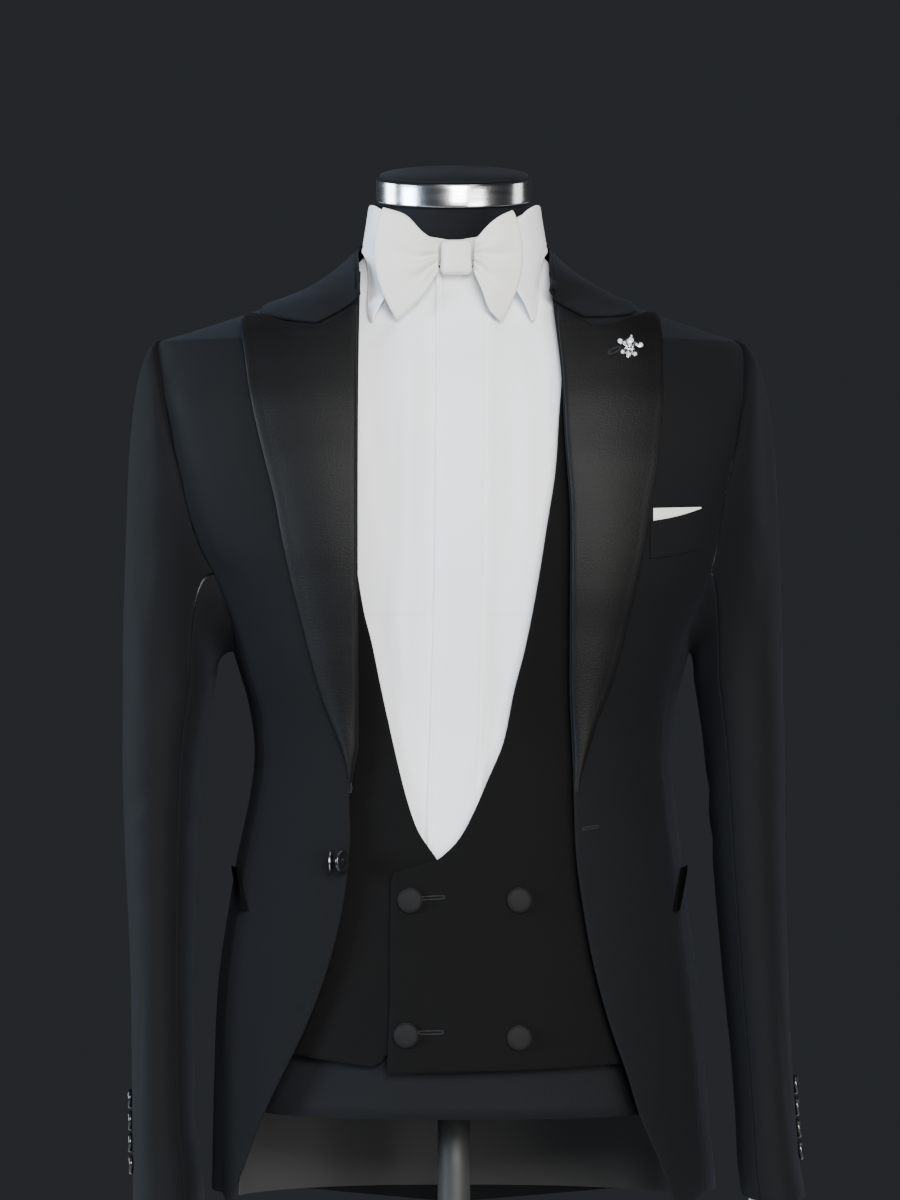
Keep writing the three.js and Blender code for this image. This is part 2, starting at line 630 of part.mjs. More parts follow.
// Waistcoat. [height, x] of its edges in front
const VEE_LEFT = [[204, -12], [227, -27], [251, -35], [276, -41], [305, -47], [334, -53], [369, -60],
  [394, -66], [450, -74], [520, -80], [600, -84], [630, -84]];
const VEE_RIGHT = [[204, -12], [219, 3], [239, 14], [265, 25], [293, 36], [334, 44], [366, 52], [414, 61],
  [458, 68], [498, 74], [538, 77], [573, 80], [630, 84]];
const OVER_LEFT_EDGE = [[46, -49], [74, -48], [99, -47], [133, -47], [194, -46]];
const WAISTCOAT_ARMHOLE = [
  [348, 90], [372, 72], [400, 62], [450, 55], [520, 50], [580, 52], [612, 66], [622, 90],
];
const WAISTCOAT_LEVELS = [204, 235, 285, 325, 348, 358, 372, 400, 440, 500, 545, 575, 597, 612, 620];

function waistcoatOut(height, angle) {
  const fromRidge = Math.min(1, Math.abs(Math.abs(angle) - 90) / 22);
  const shoulder = smooth(height, 480, 580);
  return lerp(8.8, lerp(6.1, 7.5, fromRidge), shoulder);
}

function waistcoatEdge(height) {
  return height < 348 ? 90 - seamShare : Math.min(90 - seamShare, tableAt(WAISTCOAT_ARMHOLE, height));
}

function onWaistcoat(angle, height, out = 0) {
  return onShape(FORM, angle, height, waistcoatOut(height, angle) + out);
}

// The over front lies outside; the under front runs on beneath it, and its hem steps up beside the over edge
const OVER_LIFT = 2;
const UNDER_TUCK = 1.7;
const UNDER_EDGE = -12;
const UNDER_COLUMNS = [0, 0.138, 0.168, 0.3, 0.45, 0.62, 0.8, 1];
const UNDER_HEM = [[0, 63], [0.138, 62], [0.168, 49], [0.3, 52], [0.5, 57], [1, 60]];

function makeWaistcoat() {
  const overLevels = [44, 90, 140, 194, ...WAISTCOAT_LEVELS];
  const over = grid(10, overLevels.length - 1, (s, t) => {
    const level = fromList(overLevels, t);
    const height = level < 60 ? level + 10 * s : level;
    const x = level < 200 ? tableAt(OVER_LEFT_EDGE, level) : tableAt(VEE_RIGHT, level);
    const from = angleAt(FORM, x, height);
    return onWaistcoat(lerp(from, waistcoatEdge(height), s), height, OVER_LIFT * (1 - s));
  });
  add("waistcoat_front_over", wall(over, WAISTCOAT_THICKNESS), WAISTCOAT_WOOL);

  const underLevels = [50, 90, 140, 194, ...WAISTCOAT_LEVELS];
  const under = grid(UNDER_COLUMNS.length - 1, underLevels.length - 1, (across, t) => {
    const s = fromList(UNDER_COLUMNS, across);
    const height = t === 0 ? tableAt(UNDER_HEM, s) : fromList(underLevels, t);
    const x = height < VEE_LEFT[0][0] ? UNDER_EDGE : tableAt(VEE_LEFT, height);
    const angle = lerp(angleAt(FORM, x, height), -waistcoatEdge(height), s);
    const beneath = smooth(sectionPoint(FORM, angle, height).x, -85, -55) * (1 - smooth(height, 230, 300));
    return onWaistcoat(angle, height, -UNDER_TUCK * beneath);
  });
  add("waistcoat_front_under", wall(under, WAISTCOAT_THICKNESS), WAISTCOAT_WOOL);

  const backLevels = [50, 120, 187, 240, 290, 325, 348, 358, 372, 400, 440, 500, 545, 575, 597, 612, 620];
  const back = grid(12, backLevels.length - 1, (s, t) => {
    const height = fromList(backLevels, t);
    const edge = 180 - waistcoatEdge(height);
    return onWaistcoat(lerp(edge, 360 - edge, s), height);
  });
  add("waistcoat_back", wall(back, WAISTCOAT_THICKNESS), WAISTCOAT_WOOL);
}

// Shirt: the same form moved out; the neck edge is lower in front
const SHIRT_LEVELS = [75, 187, 240, 290, 340, 385, 394, 412, 440, 500, 540, 557, 567, 573, 589, 597, 612];
const NECK_ROWS = 3;
const NECK_EDGE = [[0, 652], [12, 652], [25, 646], [45, 646], [60, 654], [75, 663.5], [90, 668], [180, 668]];
const SHIRT_CENTRE = 7;
const SHIRT_ARM_MIDDLE = 481;
const SHIRT_ARM_RISE = 92;
const SHIRT_ARM_OPENING = 24;
const PLACKET_LEFT = [[75, -19], [227, -20], [325, -17], [475, -14], [650, -13]];
const PLACKET_WIDTH = 41;
const PLACKET_TOP = 650;
const PLACKET_LIFT = 1.3;

function shirtArmhole(turn, within = 0) {
  const sine = Math.sin(turn * DEGREE);
  const share = Math.abs(Math.cos(turn * DEGREE)) ** (1 + 0.3 * sine);
  const half = Math.max(0, SHIRT_ARM_OPENING * share - ARMHOLE_GAP_ANGLE * within);
  return { half, height: SHIRT_ARM_MIDDLE + (SHIRT_ARM_RISE - ARMHOLE_GAP * within) * sine };
}

function shirtEdge(height) {
  const sine = clamp((height - SHIRT_ARM_MIDDLE) / SHIRT_ARM_RISE, -1, 1);
  return 90 - seamShare - shirtArmhole(Math.asin(sine) / DEGREE).half;
}

function neckHeight(angle) {
  return tableAt(NECK_EDGE, Math.min(Math.abs(angle), 360 - Math.abs(angle)));
}

// The height of a shirt row: level up to the shoulders, then rising to the neck edge
function shirtHeight(step, angle) {
  const last = SHIRT_LEVELS.length - 1;
  if (step <= last) return SHIRT_LEVELS[step];
  return lerp(SHIRT_LEVELS[last], neckHeight(angle), (step - last) / NECK_ROWS);
}

function makeShirt() {
  const rows = SHIRT_LEVELS.length - 1 + NECK_ROWS;
  const panel = (columns, angleOf) => grid(columns, rows, (s, t) => {
    const step = Math.round(t * rows);
    const angle = angleOf(s, shirtEdge(Math.min(shirtHeight(step, 0), 612)), shirtHeight(step, 0));
    return onShape(FORM, angle, shirtHeight(step, angle), SHIRT_OUT);
  });
  [[-1, "left"], [1, "right"]].forEach(([side, word]) => {
    const front = panel(6, (s, edge, level) => {
      const from = angleAt(FORM, SHIRT_CENTRE + side * SEAM / 2, level);
      return lerp(from, side * edge, s);
    });
    add(`shirt_front_${word}`, wall(front, SHIRT_THICKNESS), COTTON);
  });
  const back = panel(12, (s, edge) => lerp(180 - edge, 180 + edge, s));
  add("shirt_back", wall(back, SHIRT_THICKNESS), COTTON);

  const placket = grid(2, rows - 1, (s, t) => {
    const height = Math.min(shirtHeight(Math.round(t * (rows - 1)), 0), PLACKET_TOP);
    const x = tableAt(PLACKET_LEFT, height) + PLACKET_WIDTH * s;
    return onShape(FORM, angleAt(FORM, x, height), height, SHIRT_OUT + PLACKET_LIFT);
  });
  add("shirt_placket", wall(placket, SHIRT_THICKNESS - 0.2), COTTON);
}

// Shirt collar: a stand close round the neck and a leaf turned down over it
const LEAF_EDGE = [
  [0, 640], [40, 613], [48, 612], [61, 647], [68, 659], [75, 665], [90, 669], [120, 671], [180, 672],
];
const STAND_TOP = [[0, 665], [20, 667], [32, 676], [46, 688], [60, 697], [75, 701], [90, 702], [180, 699]];
const STAND_GAP = 2;
const STAND_OUT = 2.1;
const STAND_THICKNESS = 1.5;

function makeShirtCollar() {
  const stand = loop(FORM_COLUMNS, 4, (s, t) => {
    const angle = 360 * s;
    const folded = Math.min(angle, 360 - angle);
    const height = lerp(neckHeight(angle) + STAND_GAP, tableAt(STAND_TOP, folded), t);
    const sample = onShape(FORM, angle, height, STAND_OUT);
    tilted(sample.point);
    return sample;
  });
  add("shirt_collar_stand", wall(stand, STAND_THICKNESS, true), COTTON);

  const leaf = grid(18, 3, (s, t) => {
    const across = 2 * s - 1;
    const share = Math.abs(across);
    const fore = lerp(15, 46, t);
    const angle = lerp(180, fore, share) * Math.sign(across || 1);
    const folded = Math.abs(angle);
    const height = lerp(tableAt(STAND_TOP, folded) + 3.5, tableAt(LEAF_EDGE, folded), t);
    return onShape(COLLAR_LEAF, angle, height);
  });
  add("shirt_collar_leaf", wall(leaf, SHIRT_THICKNESS), COTTON);
}

// Shirt sleeves hang inside the jacket sleeves, and the cuffs show below them
const SHIRT_INSET = [[-90, 6], [-10, 6.5], [104, 8], [320, 9]];
const SHIRT_DEPTH_INSET = [[-90, 6], [-10, 7], [160, 12], [320, 23]];
const SHIRT_HEAD_SHARES = [0, 0.2, 0.45, 0.72];

function shirtSleevePoint(table, side, turn, height) {
  const inset = tableAt(SHIRT_INSET, height);
  const point = sleevePoint(table, side, turn, height, inset);
  const middle = tableAt(table, height, 3);
  const halfDepth = tableAt(table, height, 4);
  const narrower = (halfDepth - tableAt(SHIRT_DEPTH_INSET, height)) / (halfDepth - inset);
  point.y = middle + (point.y - middle) * narrower;
  return point;
}

function makeShirtSleeves() {
  [[-1, "left", SLEEVE_LEFT, -30], [1, "right", SLEEVE_RIGHT, -10]].forEach(([side, word, table, hem]) => {
    const lower = [330, 284, 222, 160, 104, 50, hem];
    const rows = SHIRT_HEAD_SHARES.length + lower.length - 1;
    const sleeve = loop(14, rows, (s, t) => {
      const turn = 360 * s;
      const step = Math.round(t * rows);
      const ring = step - SHIRT_HEAD_SHARES.length;
      if (ring >= 0) return shirtSleevePoint(table, side, turn, lower[ring]);
      const { half, height } = shirtArmhole(turn, 1);
      const fore = Math.cos(turn * DEGREE) > 0 ? 1 : -1;
      const start = onShape(FORM, side * (90 - fore * half), height, SHIRT_OUT).point;
      const end = shirtSleevePoint(table, side, turn, lower[0]);
      return headPoint(start, end, 4, SHIRT_HEAD_SHARES[step]);
    });
    add(`shirt_sleeve_${word}`, wall(orient(sleeve, side, true), SHIRT_THICKNESS, true), COTTON);

    const cuffBottom = table[0][0] - 14;
    const cuff = loop(14, 1, (s, t) => (
      shirtSleevePoint(table, side, 360 * s, lerp(hem - SEAM, cuffBottom, t))
    ));
    add(`shirt_cuff_${word}`, wall(orient(cuff, side, true), CUFF_THICKNESS, true), COTTON);
  });
}

// Bow tie: a band round the collar stand, a knot and two wings
// [share from the knot, lower x, lower height, upper x, upper height]
const WING_LEFT = [
  [0, 11.1, 649, 11.1, 671],
  [0.35, 21, 633, 23, 678],
  [0.7, 32, 621, 38, 692],
  [1, 43, 611, 54, 698],
];
const WING_RIGHT = [
  [0, 14.1, 649, 14.1, 671],
  [0.35, 21, 633, 24, 682],
  [0.7, 28, 618, 36, 691],
  [1, 36, 610, 45, 696],
];
const WING_BULGE = 12;
const BAND_OUT = 4.6;
const BAND_THICKNESS = 1.5;
const BAND_HALF_HEIGHT = 9;
const KNOT = { x: 1.5, y: -74.2, columns: 16 };
// [height, half width, half depth]
const KNOT_LEVELS = [[647, 10.7, 8], [650, 12.2, 10], [659.5, 11.7, 10.2], [669, 12.2, 10], [672, 10.7, 8]];
const BAND_MIDDLE = [[0, 664], [60, 676], [90, 683], [180, 688]];

function makeBowTie() {
  const band = loop(FORM_COLUMNS, 2, (s, t) => {
    const angle = 360 * s;
    const folded = Math.min(angle, 360 - angle);
    const height = tableAt(BAND_MIDDLE, folded) + lerp(-BAND_HALF_HEIGHT, BAND_HALF_HEIGHT, t);
    return onShape(FORM, angle, height, BAND_OUT);
  });
  add("bow_band", wall(band, BAND_THICKNESS, true), IVORY);

  const knotRing = ([height, halfWidth, halfDepth]) => Array.from({ length: KNOT.columns }, (_, i) => {
    const turn = (2 * Math.PI * i) / KNOT.columns;
    const power = 2 / 3;
    const x = KNOT.x + halfWidth * Math.sign(Math.sin(turn)) * Math.abs(Math.sin(turn)) ** power;
    const y = KNOT.y - halfDepth * Math.sign(Math.cos(turn)) * Math.abs(Math.cos(turn)) ** power;
    return new THREE.Vector3(x, y, height);
  });
  add("bow_knot", stack(KNOT_LEVELS.map(knotRing)), IVORY);

  [[-1, "left", WING_LEFT], [1, "right", WING_RIGHT]].forEach(([side, word, table]) => {
    const wing = grid(7, 6, (s, t) => {
      const at = (column) => tableAt(table, s, column);
      const x = lerp(at(1), at(3), t) + WING_BULGE * s * s * Math.sin(Math.PI * t) ** 0.8;
      const height = lerp(at(2), at(4), t);
      const y = -77.5 - 8 * Math.sin(Math.PI * s ** 0.9) - 1.5 * s * s;
      return new THREE.Vector3(side * x, y, height);
    });
    const facing = withNormals(wing).map((row) => row.map(({ point, normal }) => (
      { point, normal: normal.y > 0 ? normal.negate() : normal }
    )));
    add(`bow_wing_${word}`, wall(facing, (s) => 4 + 3 * Math.sin(Math.PI * s)), IVORY);
  });
}

// Where a line along a surface normal meets a finished piece, with the normal of the face there
function landOn(piece, { point, normal }) {
  const start = point.clone().addScaledVector(normal, 30);
  piece.updateWorldMatrix(true, false);
  const ray = new THREE.Raycaster(worn.localToWorld(start), normal.clone().negate());
  const hit = ray.intersectObject(piece)[0];
  return { point: worn.worldToLocal(hit.point), normal: hit.face.normal.clone() };
}

// A round button whose back faces against the normal, a gap away from the point
function makeButton(name, { point, normal }, radius, thickness, look, gap = SEAM, sides = 10) {
  const rim = thickness / 3;
  const profile = [
    new THREE.Vector2(0, 0),
    new THREE.Vector2(radius, 0),
    new THREE.Vector2(radius, thickness - rim),
    new THREE.Vector2(radius - rim, thickness),
    new THREE.Vector2(0, thickness),
  ];
  const button = add(name, new THREE.LatheGeometry(profile, sides), look);
  button.quaternion.setFromUnitVectors(new THREE.Vector3(0, 1, 0), normal);
  button.position.copy(point).addScaledVector(normal, gap);
}

const WAISTCOAT_BUTTONS = [
  ["upper_left", -32, 174], ["upper_right", 48, 174], ["lower_left", -35, 73], ["lower_right", 48, 71],
];
const WAISTCOAT_BUTTON_RADIUS = 9.5;
const SLEEVE_BUTTON_RADIUS = 7.5;
const SLEEVE_BUTTON_PITCH = 16.2;
const SLEEVE_BUTTON_TURN = [[0, 76], [3, 88]];

function makeButtons() {
  const over = worn.getObjectByName("waistcoat_front_over");
  WAISTCOAT_BUTTONS.forEach(([word, x, height]) => {
    const seat = landOn(over, onWaistcoat(angleAt(FORM, x, height), height));
    makeButton(`waistcoat_button_${word}`, seat, WAISTCOAT_BUTTON_RADIUS, 4, WAISTCOAT_WOOL, 0.5, 14);
  });
  [
    ["left", -1, SLEEVE_LEFT, -32],
    ["right", 1, SLEEVE_RIGHT, -21],
  ].forEach(([word, side, table, lowest]) => {
    const sleeve = worn.getObjectByName(`jacket_top_sleeve_${word}`);
    for (let k = 0; k < 4; k += 1) {
      const height = lowest + SLEEVE_BUTTON_PITCH * k;
      const turn = tableAt(SLEEVE_BUTTON_TURN, k);
      const point = sleevePoint(table, side, turn, height);
      const ahead = sleevePoint(table, side, turn + 2, height);
      ahead.sub(sleevePoint(table, side, turn - 2, height));
      const normal = new THREE.Vector3(0, 0, -side).cross(ahead).normalize();
      const seat = landOn(sleeve, { point, normal });
      makeButton(`sleeve_button_${word}_${k + 1}`, seat, SLEEVE_BUTTON_RADIUS, 3, GLOSS_BUTTON, 0.5);
    }
  });
}

// Link closure: two buttons on one thread, lying on edge on the left front beside its buttonhole
const LINK = { x: -85, height: 204, radius: 9, thickness: 2.2, length: 6, thread: 1.3, sides: 14 };

function makeLink() {
  const front = worn.getObjectByName("jacket_front_left");
  const at = (x) => landOn(front, onShape(JACKET, angleAt(JACKET, x, LINK.height), LINK.height)).point;
  const axis = new THREE.Vector3(1, -0.2, 0).normalize();
  const lift = LINK.radius * axis.x;
  const middle = at(LINK.x).add(new THREE.Vector3(-3, -lift - SEAM, 0));
  const disc = (name, facing, reach) => {
    const seat = middle.clone().addScaledVector(axis, reach);
    const normal = facing.normalize();
    makeButton(name, { point: seat, normal }, LINK.radius, LINK.thickness, GLOSS_BUTTON, SEAM, LINK.sides);
  };
  disc("link_button_front", new THREE.Vector3(1, -0.55, 0), LINK.length / 2);
  disc("link_button_back", new THREE.Vector3(-1, 0.12, 0), -LINK.length / 2);
  const thread = new THREE.CylinderGeometry(LINK.thread, LINK.thread, LINK.length - 2 * SEAM, 8);
  const shank = add("link_shank", thread, WOOL);
  shank.quaternion.setFromUnitVectors(new THREE.Vector3(0, 1, 0), axis);
  shank.position.copy(middle);
}

makeStand();
makeForm();
makeJacketBody();
makeSleeves();
makeJacketCollar();
makeLapels();
makePin();
makePockets();
makeWaistcoat();
makeShirt();
makeShirtCollar();
makeShirtSleeves();
makeBowTie();
makeButtons();
makeLink();

export default group;
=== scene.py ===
import bpy
import numpy as np
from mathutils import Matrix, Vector


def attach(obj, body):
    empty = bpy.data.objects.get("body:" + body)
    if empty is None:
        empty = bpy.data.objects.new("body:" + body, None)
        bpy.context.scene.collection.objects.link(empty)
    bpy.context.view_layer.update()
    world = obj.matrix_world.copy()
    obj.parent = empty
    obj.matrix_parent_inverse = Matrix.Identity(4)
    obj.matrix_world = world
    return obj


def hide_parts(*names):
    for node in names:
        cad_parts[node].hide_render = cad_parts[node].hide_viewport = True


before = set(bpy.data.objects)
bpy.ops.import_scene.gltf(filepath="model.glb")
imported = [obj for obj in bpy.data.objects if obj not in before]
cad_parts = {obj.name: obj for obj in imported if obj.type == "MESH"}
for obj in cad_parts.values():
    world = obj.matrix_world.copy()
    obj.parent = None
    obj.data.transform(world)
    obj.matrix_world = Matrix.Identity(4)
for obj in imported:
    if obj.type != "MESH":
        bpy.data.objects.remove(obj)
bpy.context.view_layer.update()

# The camera stands level, 3.5 m in front of the figure, aimed at the middle of the photograph.
view = bpy.data.cameras.new("view_camera")
view.lens = 135.7
view.sensor_width = 36
view_stand = bpy.data.objects.new("view_camera", view)
view_stand.location = (-0.003, -3.5, 0.6)
view_stand.rotation_euler = (np.pi / 2, 0, 0)
bpy.context.scene.collection.objects.link(view_stand)
bpy.context.scene.camera = view_stand

# A plain pale floor under soft studio light: a wide cool key from the left, a weaker warm one from the
# right, a top light, and two from behind that draw the shoulders.


def soft_light(name, place, aim, size, power, colour):
    """A square area light of one side's length in metres, turned from its place towards its aim."""
    lamp = bpy.data.lights.new(name, "AREA")
    lamp.size = size
    lamp.energy = power
    lamp.color = colour
    stand = bpy.data.objects.new(name, lamp)
    stand.location = place
    direction = Vector(aim) - Vector(place)
    stand.rotation_euler = direction.to_track_quat("-Z", "Y").to_euler()
    bpy.context.scene.collection.objects.link(stand)


soft_light("key_light", (-3.0, -1.2, 0.8), (0, 0, 0.5), 1.2, 118, (0.70, 0.85, 1.0))
soft_light("fill_light", (1.9, -3.0, 0.5), (0, 0, 0.5), 1.4, 74, (1.0, 0.96, 0.91))
soft_light("front_light", (0.5, -3.9, 1.9), (0, 0, 0.65), 1.4, 215, (1.0, 0.99, 0.97))
soft_light("top_light", (0.2, -0.9, 2.7), (0, 0, 0.7), 1.2, 12, (1.0, 1.0, 1.0))
soft_light("left_edge_light", (-2.7, 0.8, 1.0), (0, 0, 0.6), 1.0, 44, (0.80, 0.90, 1.0))
soft_light("right_edge_light", (2.7, 0.9, 1.2), (0, 0, 0.6), 1.0, 8, (1.0, 0.98, 0.95))

sky = bpy.data.worlds.new("studio")
sky.use_nodes = True
sky.node_tree.nodes["Background"].inputs["Color"].default_value = (0.0240, 0.0262, 0.0295, 1)
sky.node_tree.nodes["Background"].inputs["Strength"].default_value = 1.0
bpy.context.scene.world = sky

# Materials: Wire wraps a socket so that its maths reads as an expression, and Finish builds one material.


class Wire:
    """A value in a material. Arithmetic on it adds Math nodes, also with a plain number on the left."""

    def __init__(self, tree, socket):
        self.tree = tree
        self.socket = socket

    def maths(self, operation, *others):
        node = self.tree.nodes.new("ShaderNodeMath")
        node.operation = operation
        for slot, value in zip(node.inputs, (self, *others)):
            if isinstance(value, Wire):
                self.tree.links.new(value.socket, slot)
            else:
                slot.default_value = value
        return Wire(self.tree, node.outputs[0])

    def __add__(self, other):
        return self.maths("ADD", other)

    def __radd__(self, other):
        return self.maths("ADD", other)

    def __mul__(self, other):
        return self.maths("MULTIPLY", other)

    def __rmul__(self, other):
        return self.maths("MULTIPLY", other)

    def __sub__(self, other):
        return self.maths("SUBTRACT", other)

    def __rsub__(self, other):
        return self.maths("MULTIPLY", -1).maths("ADD", other)

    def __pow__(self, other):
        return self.maths("POWER", other)


class Finish:
    """A material with one Principled shader; node() adds any other node by type, settings and inputs."""

    def __init__(self, name, **constants):
        self.material = bpy.data.materials.new(name)
        self.material.use_nodes = True
        self.tree = self.material.node_tree
        self.shader = self.tree.nodes["Principled BSDF"]
        for socket, value in constants.items():
            self.shader.inputs[socket.replace("_", " ")].default_value = value

    def node(self, kind, settings=None, output=0, **inputs):
        made = self.tree.nodes.new("ShaderNode" + kind)
        for key, value in (settings or {}).items():
            setattr(made, key, value)
        for key, value in inputs.items():
            socket = made.inputs[int(key[1:])] if key[0] == "i" and key[1:].isdigit() else made.inputs[key]
            if isinstance(value, Wire):
                self.tree.links.new(value.socket, socket)
            else:
                socket.default_value = value
        return Wire(self.tree, made.outputs[output])

    def cloth_place(self, scale):
        """The piece's own UV in metres along the cloth, multiplied."""
        uv = self.node("UVMap", {"uv_map": "UVMap"})
        return self.node("VectorMath", {"operation": "SCALE"}, i0=uv, i3=scale)

    def solid_place(self, scale):
        """Object coordinates, multiplied."""
        place = self.node("TexCoord", output="Object")
        return self.node("VectorMath", {"operation": "SCALE"}, i0=place, i3=scale)

    def noise(self, place, scale, detail=2.0, rough=0.5):
        return self.node("TexNoise", Vector=place, Scale=scale, Detail=detail, Roughness=rough)

    def mix(self, share, first, second):
        """From the first colour to the second."""
        return self.node("Mix", {"data_type": "RGBA"}, output=2, i0=share, i6=(*first, 1), i7=(*second, 1))

    def feed(self, socket, value):
        self.tree.links.new(value.socket, self.shader.inputs[socket])

    def bump(self, height, distance, strength=1.0):
        self.feed("Normal", self.node("Bump", Height=height, Distance=distance, Strength=strength))


def woven(name, dark, light, rough, sheen, tint, ribs, depth, blotch, slant=1.0, grain=0.5, gloss=0.25):
    """Cloth: two crossed wave patterns of ribs threads to the metre, slanted as a twill, a fine fuzz whose
    share is the grain, and broad faint patches that vary its colour and roughness."""
    finish = Finish(name, Sheen_Weight=sheen, Sheen_Roughness=0.45, Sheen_Tint=(*tint, 1), Specular_IOR_Level=gloss)
    cloth = finish.cloth_place(1.0)
    split = finish.node("SeparateXYZ", Vector=cloth)
    across = Wire(finish.tree, split.socket.node.outputs[0])
    along = Wire(finish.tree, split.socket.node.outputs[1])
    turn = 2 * np.pi * ribs
    twill = ((across * turn) + (along * (turn * slant))).maths("SINE")
    weft = ((along * (turn * 0.9)) - (across * (turn * 0.25 * slant))).maths("SINE")
    fuzz = finish.noise(cloth, ribs * 0.7, 3.0, 0.6)
    patch = finish.noise(cloth, blotch, 3.0, 0.55)
    relief = twill * (0.6 - 0.6 * grain) + weft * (0.4 - 0.4 * grain) + fuzz * grain
    shade = (patch - 0.5) * 0.9 + relief * 0.25 + 0.45
    finish.feed("Base Color", finish.mix(shade.maths("MINIMUM", 1.0).maths("MAXIMUM", 0.0), dark, light))
    finish.feed("Roughness", (patch - 0.5) * 0.16 + fuzz * 0.08 + (rough - 0.04))
    finish.bump(relief, depth, 0.7)
    return finish.material


# Dress form: a smooth limbless torso under black jersey, cut aslant at the neck. The cloth of every
# piece below is measured from this body, so its section tables come first. Millimetres, heights from
# the form's lower edge.

FORM_BOTTOM = 200
SEAM = 0.3
# [height, half width left, right, depth front, back, power front, back]
FORM = [
    [0, 160, 172, 96, 104, 2.3, 2.3], [90, 158, 168, 95, 102, 2.3, 2.3], [187, 145, 156, 92, 88, 2.3, 2.3],
    [284, 133, 146, 90, 66, 2.3, 2.3], [369, 150, 160, 103, 84, 2.3, 2.3], [440, 166, 168, 111, 97, 2.3, 2.3],
    [500, 178, 174, 108, 103, 2.2, 2.2], [550, 187, 180, 98, 99, 2.1, 2.1], [575, 193, 186, 89, 91, 1.9, 1.9],
    [589, 194, 187, 82, 85, 1.7, 1.7], [597, 187, 180, 79, 82, 1.55, 1.55], [612, 150, 144, 72, 74, 1.5, 1.5],
    [627, 120, 116, 67, 67, 1.55, 1.55], [642, 94, 92, 62, 60, 1.7, 1.7], [654, 76, 75, 59, 56, 1.85, 1.85],
    [665, 66, 66, 57, 54, 1.95, 1.95], [680, 60, 60, 56, 53, 2, 2], [705, 57, 57, 55, 52, 2, 2],
]
BAND_BOTTOM = 708.3
TORSO_EDGE = 8.5


def table_at(table, position, column=1):
    """One column of a table at positions: a monotone cubic with the harmonic mean of the neighbouring
    slopes as its tangents."""
    rows = np.array(table, float)
    x, y = rows[:, 0], rows[:, column]
    slope = np.diff(y) / np.diff(x)
    before, after = slope[:-1], slope[1:]
    same = before * after > 0
    middle = np.where(same, 2 * before * after / np.where(same, before + after, 1), 0)
    tangent = np.concatenate([slope[:1], middle, slope[-1:]])
    at = np.clip(position, x[0], x[-1])
    row = np.clip(np.searchsorted(x, at) - 1, 0, len(x) - 2)
    width = x[row + 1] - x[row]
    t = (at - x[row]) / width
    blend = t * t * (3 - 2 * t)
    leave = t * (1 - t) ** 2 * width * tangent[row]
    arrive = t * t * (1 - t) * width * tangent[row + 1]
    return y[row] + (y[row + 1] - y[row]) * blend + leave - arrive


def lerp(start, end, share):
    """Straight line from start to end."""
    return start + (end - start) * share


def smooth(value, low, high):
    """Smooth step from 0 at low to 1 at high."""
    t = np.clip((value - low) / (high - low), 0, 1)
    return t * t * (3 - 2 * t)


def stacked(x, y, z):
    """Points from three arrays that broadcast together."""
    return np.stack(np.broadcast_arrays(x, y, z), axis=-1).astype(float)


def section_point(shape, angle, height):
    """Superellipse of a shape at an angle in degrees: x goes as the sine and y as minus the cosine, each
    raised to 2 / power; 0 is in front, 90 at +X."""
    sine, cosine = np.sin(np.radians(angle)), np.cos(np.radians(angle))
    half = np.where(sine < 0, table_at(shape, height, 1), table_at(shape, height, 2))
    depth = np.where(cosine > 0, table_at(shape, height, 3), table_at(shape, height, 4))
    power = 2 / np.where(cosine > 0, table_at(shape, height, 5), table_at(shape, height, 6))
    x = np.sign(sine) * half * np.abs(sine) ** power
    y = -np.sign(cosine) * depth * np.abs(cosine) ** power
    return stacked(x, y, height)


def angle_at(shape, x, height):
    """The angle in front at which a shape has a given x: the section's formula turned round."""
    half = np.where(np.asarray(x) < 0, table_at(shape, height, 1), table_at(shape, height, 2))
    power = table_at(shape, height, 5)
    share = np.minimum(1, np.abs(x) / half)
    return np.sign(x) * np.degrees(np.arcsin(share ** (power / 2)))


def on_shape(shape, angle, height, out=0.0):
    """A point of a shape moved out along its normal, which is the cross product of the steps of 1 degree
    aside and 2 mm up."""
    aside = section_point(shape, angle + 1, height) - section_point(shape, angle - 1, height)
    upward = section_point(shape, angle, height + 2) - section_point(shape, angle, height - 2)
    normal = np.cross(aside, upward)
    normal /= np.linalg.norm(normal, axis=-1, keepdims=True)
    out = np.broadcast_to(out, normal.shape[:-1])[..., None]
    return section_point(shape, angle, height) + normal * out


def mesh_piece(name, points, faces, uv=None, lift=FORM_BOTTOM):
    """A smooth-shaded mesh from points in millimetres and an array of quads, moved up by lift."""
    mesh = bpy.data.meshes.new(name)
    corners = faces.shape[1]
    mesh.vertices.add(len(points))
    mesh.vertices.foreach_set("co", ((points + [0, 0, lift]) / 1000).ravel())
    mesh.loops.add(faces.size)
    mesh.loops.foreach_set("vertex_index", faces.ravel())
    mesh.polygons.add(len(faces))
    mesh.polygons.foreach_set("loop_start", np.arange(0, faces.size, corners))
    mesh.polygons.foreach_set("use_smooth", np.ones(len(faces), bool))
    if uv is not None:
        layer = mesh.uv_layers.new(name="UVMap")
        layer.data.foreach_set("uv", uv[faces.ravel()].ravel())
    mesh.update(calc_edges=True)
    mesh.validate()
    piece = bpy.data.objects.new(name, mesh)
    bpy.context.scene.collection.objects.link(piece)
    return piece


def finished(piece, material, slot, *nodes):
    """Gives a piece its material and its body, and hides the CAD nodes it stands for; the slot is not used."""
    piece.data.materials.clear()
    piece.data.materials.append(material)
    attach(piece, "root")
    if nodes:
        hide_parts(*nodes)
    return piece


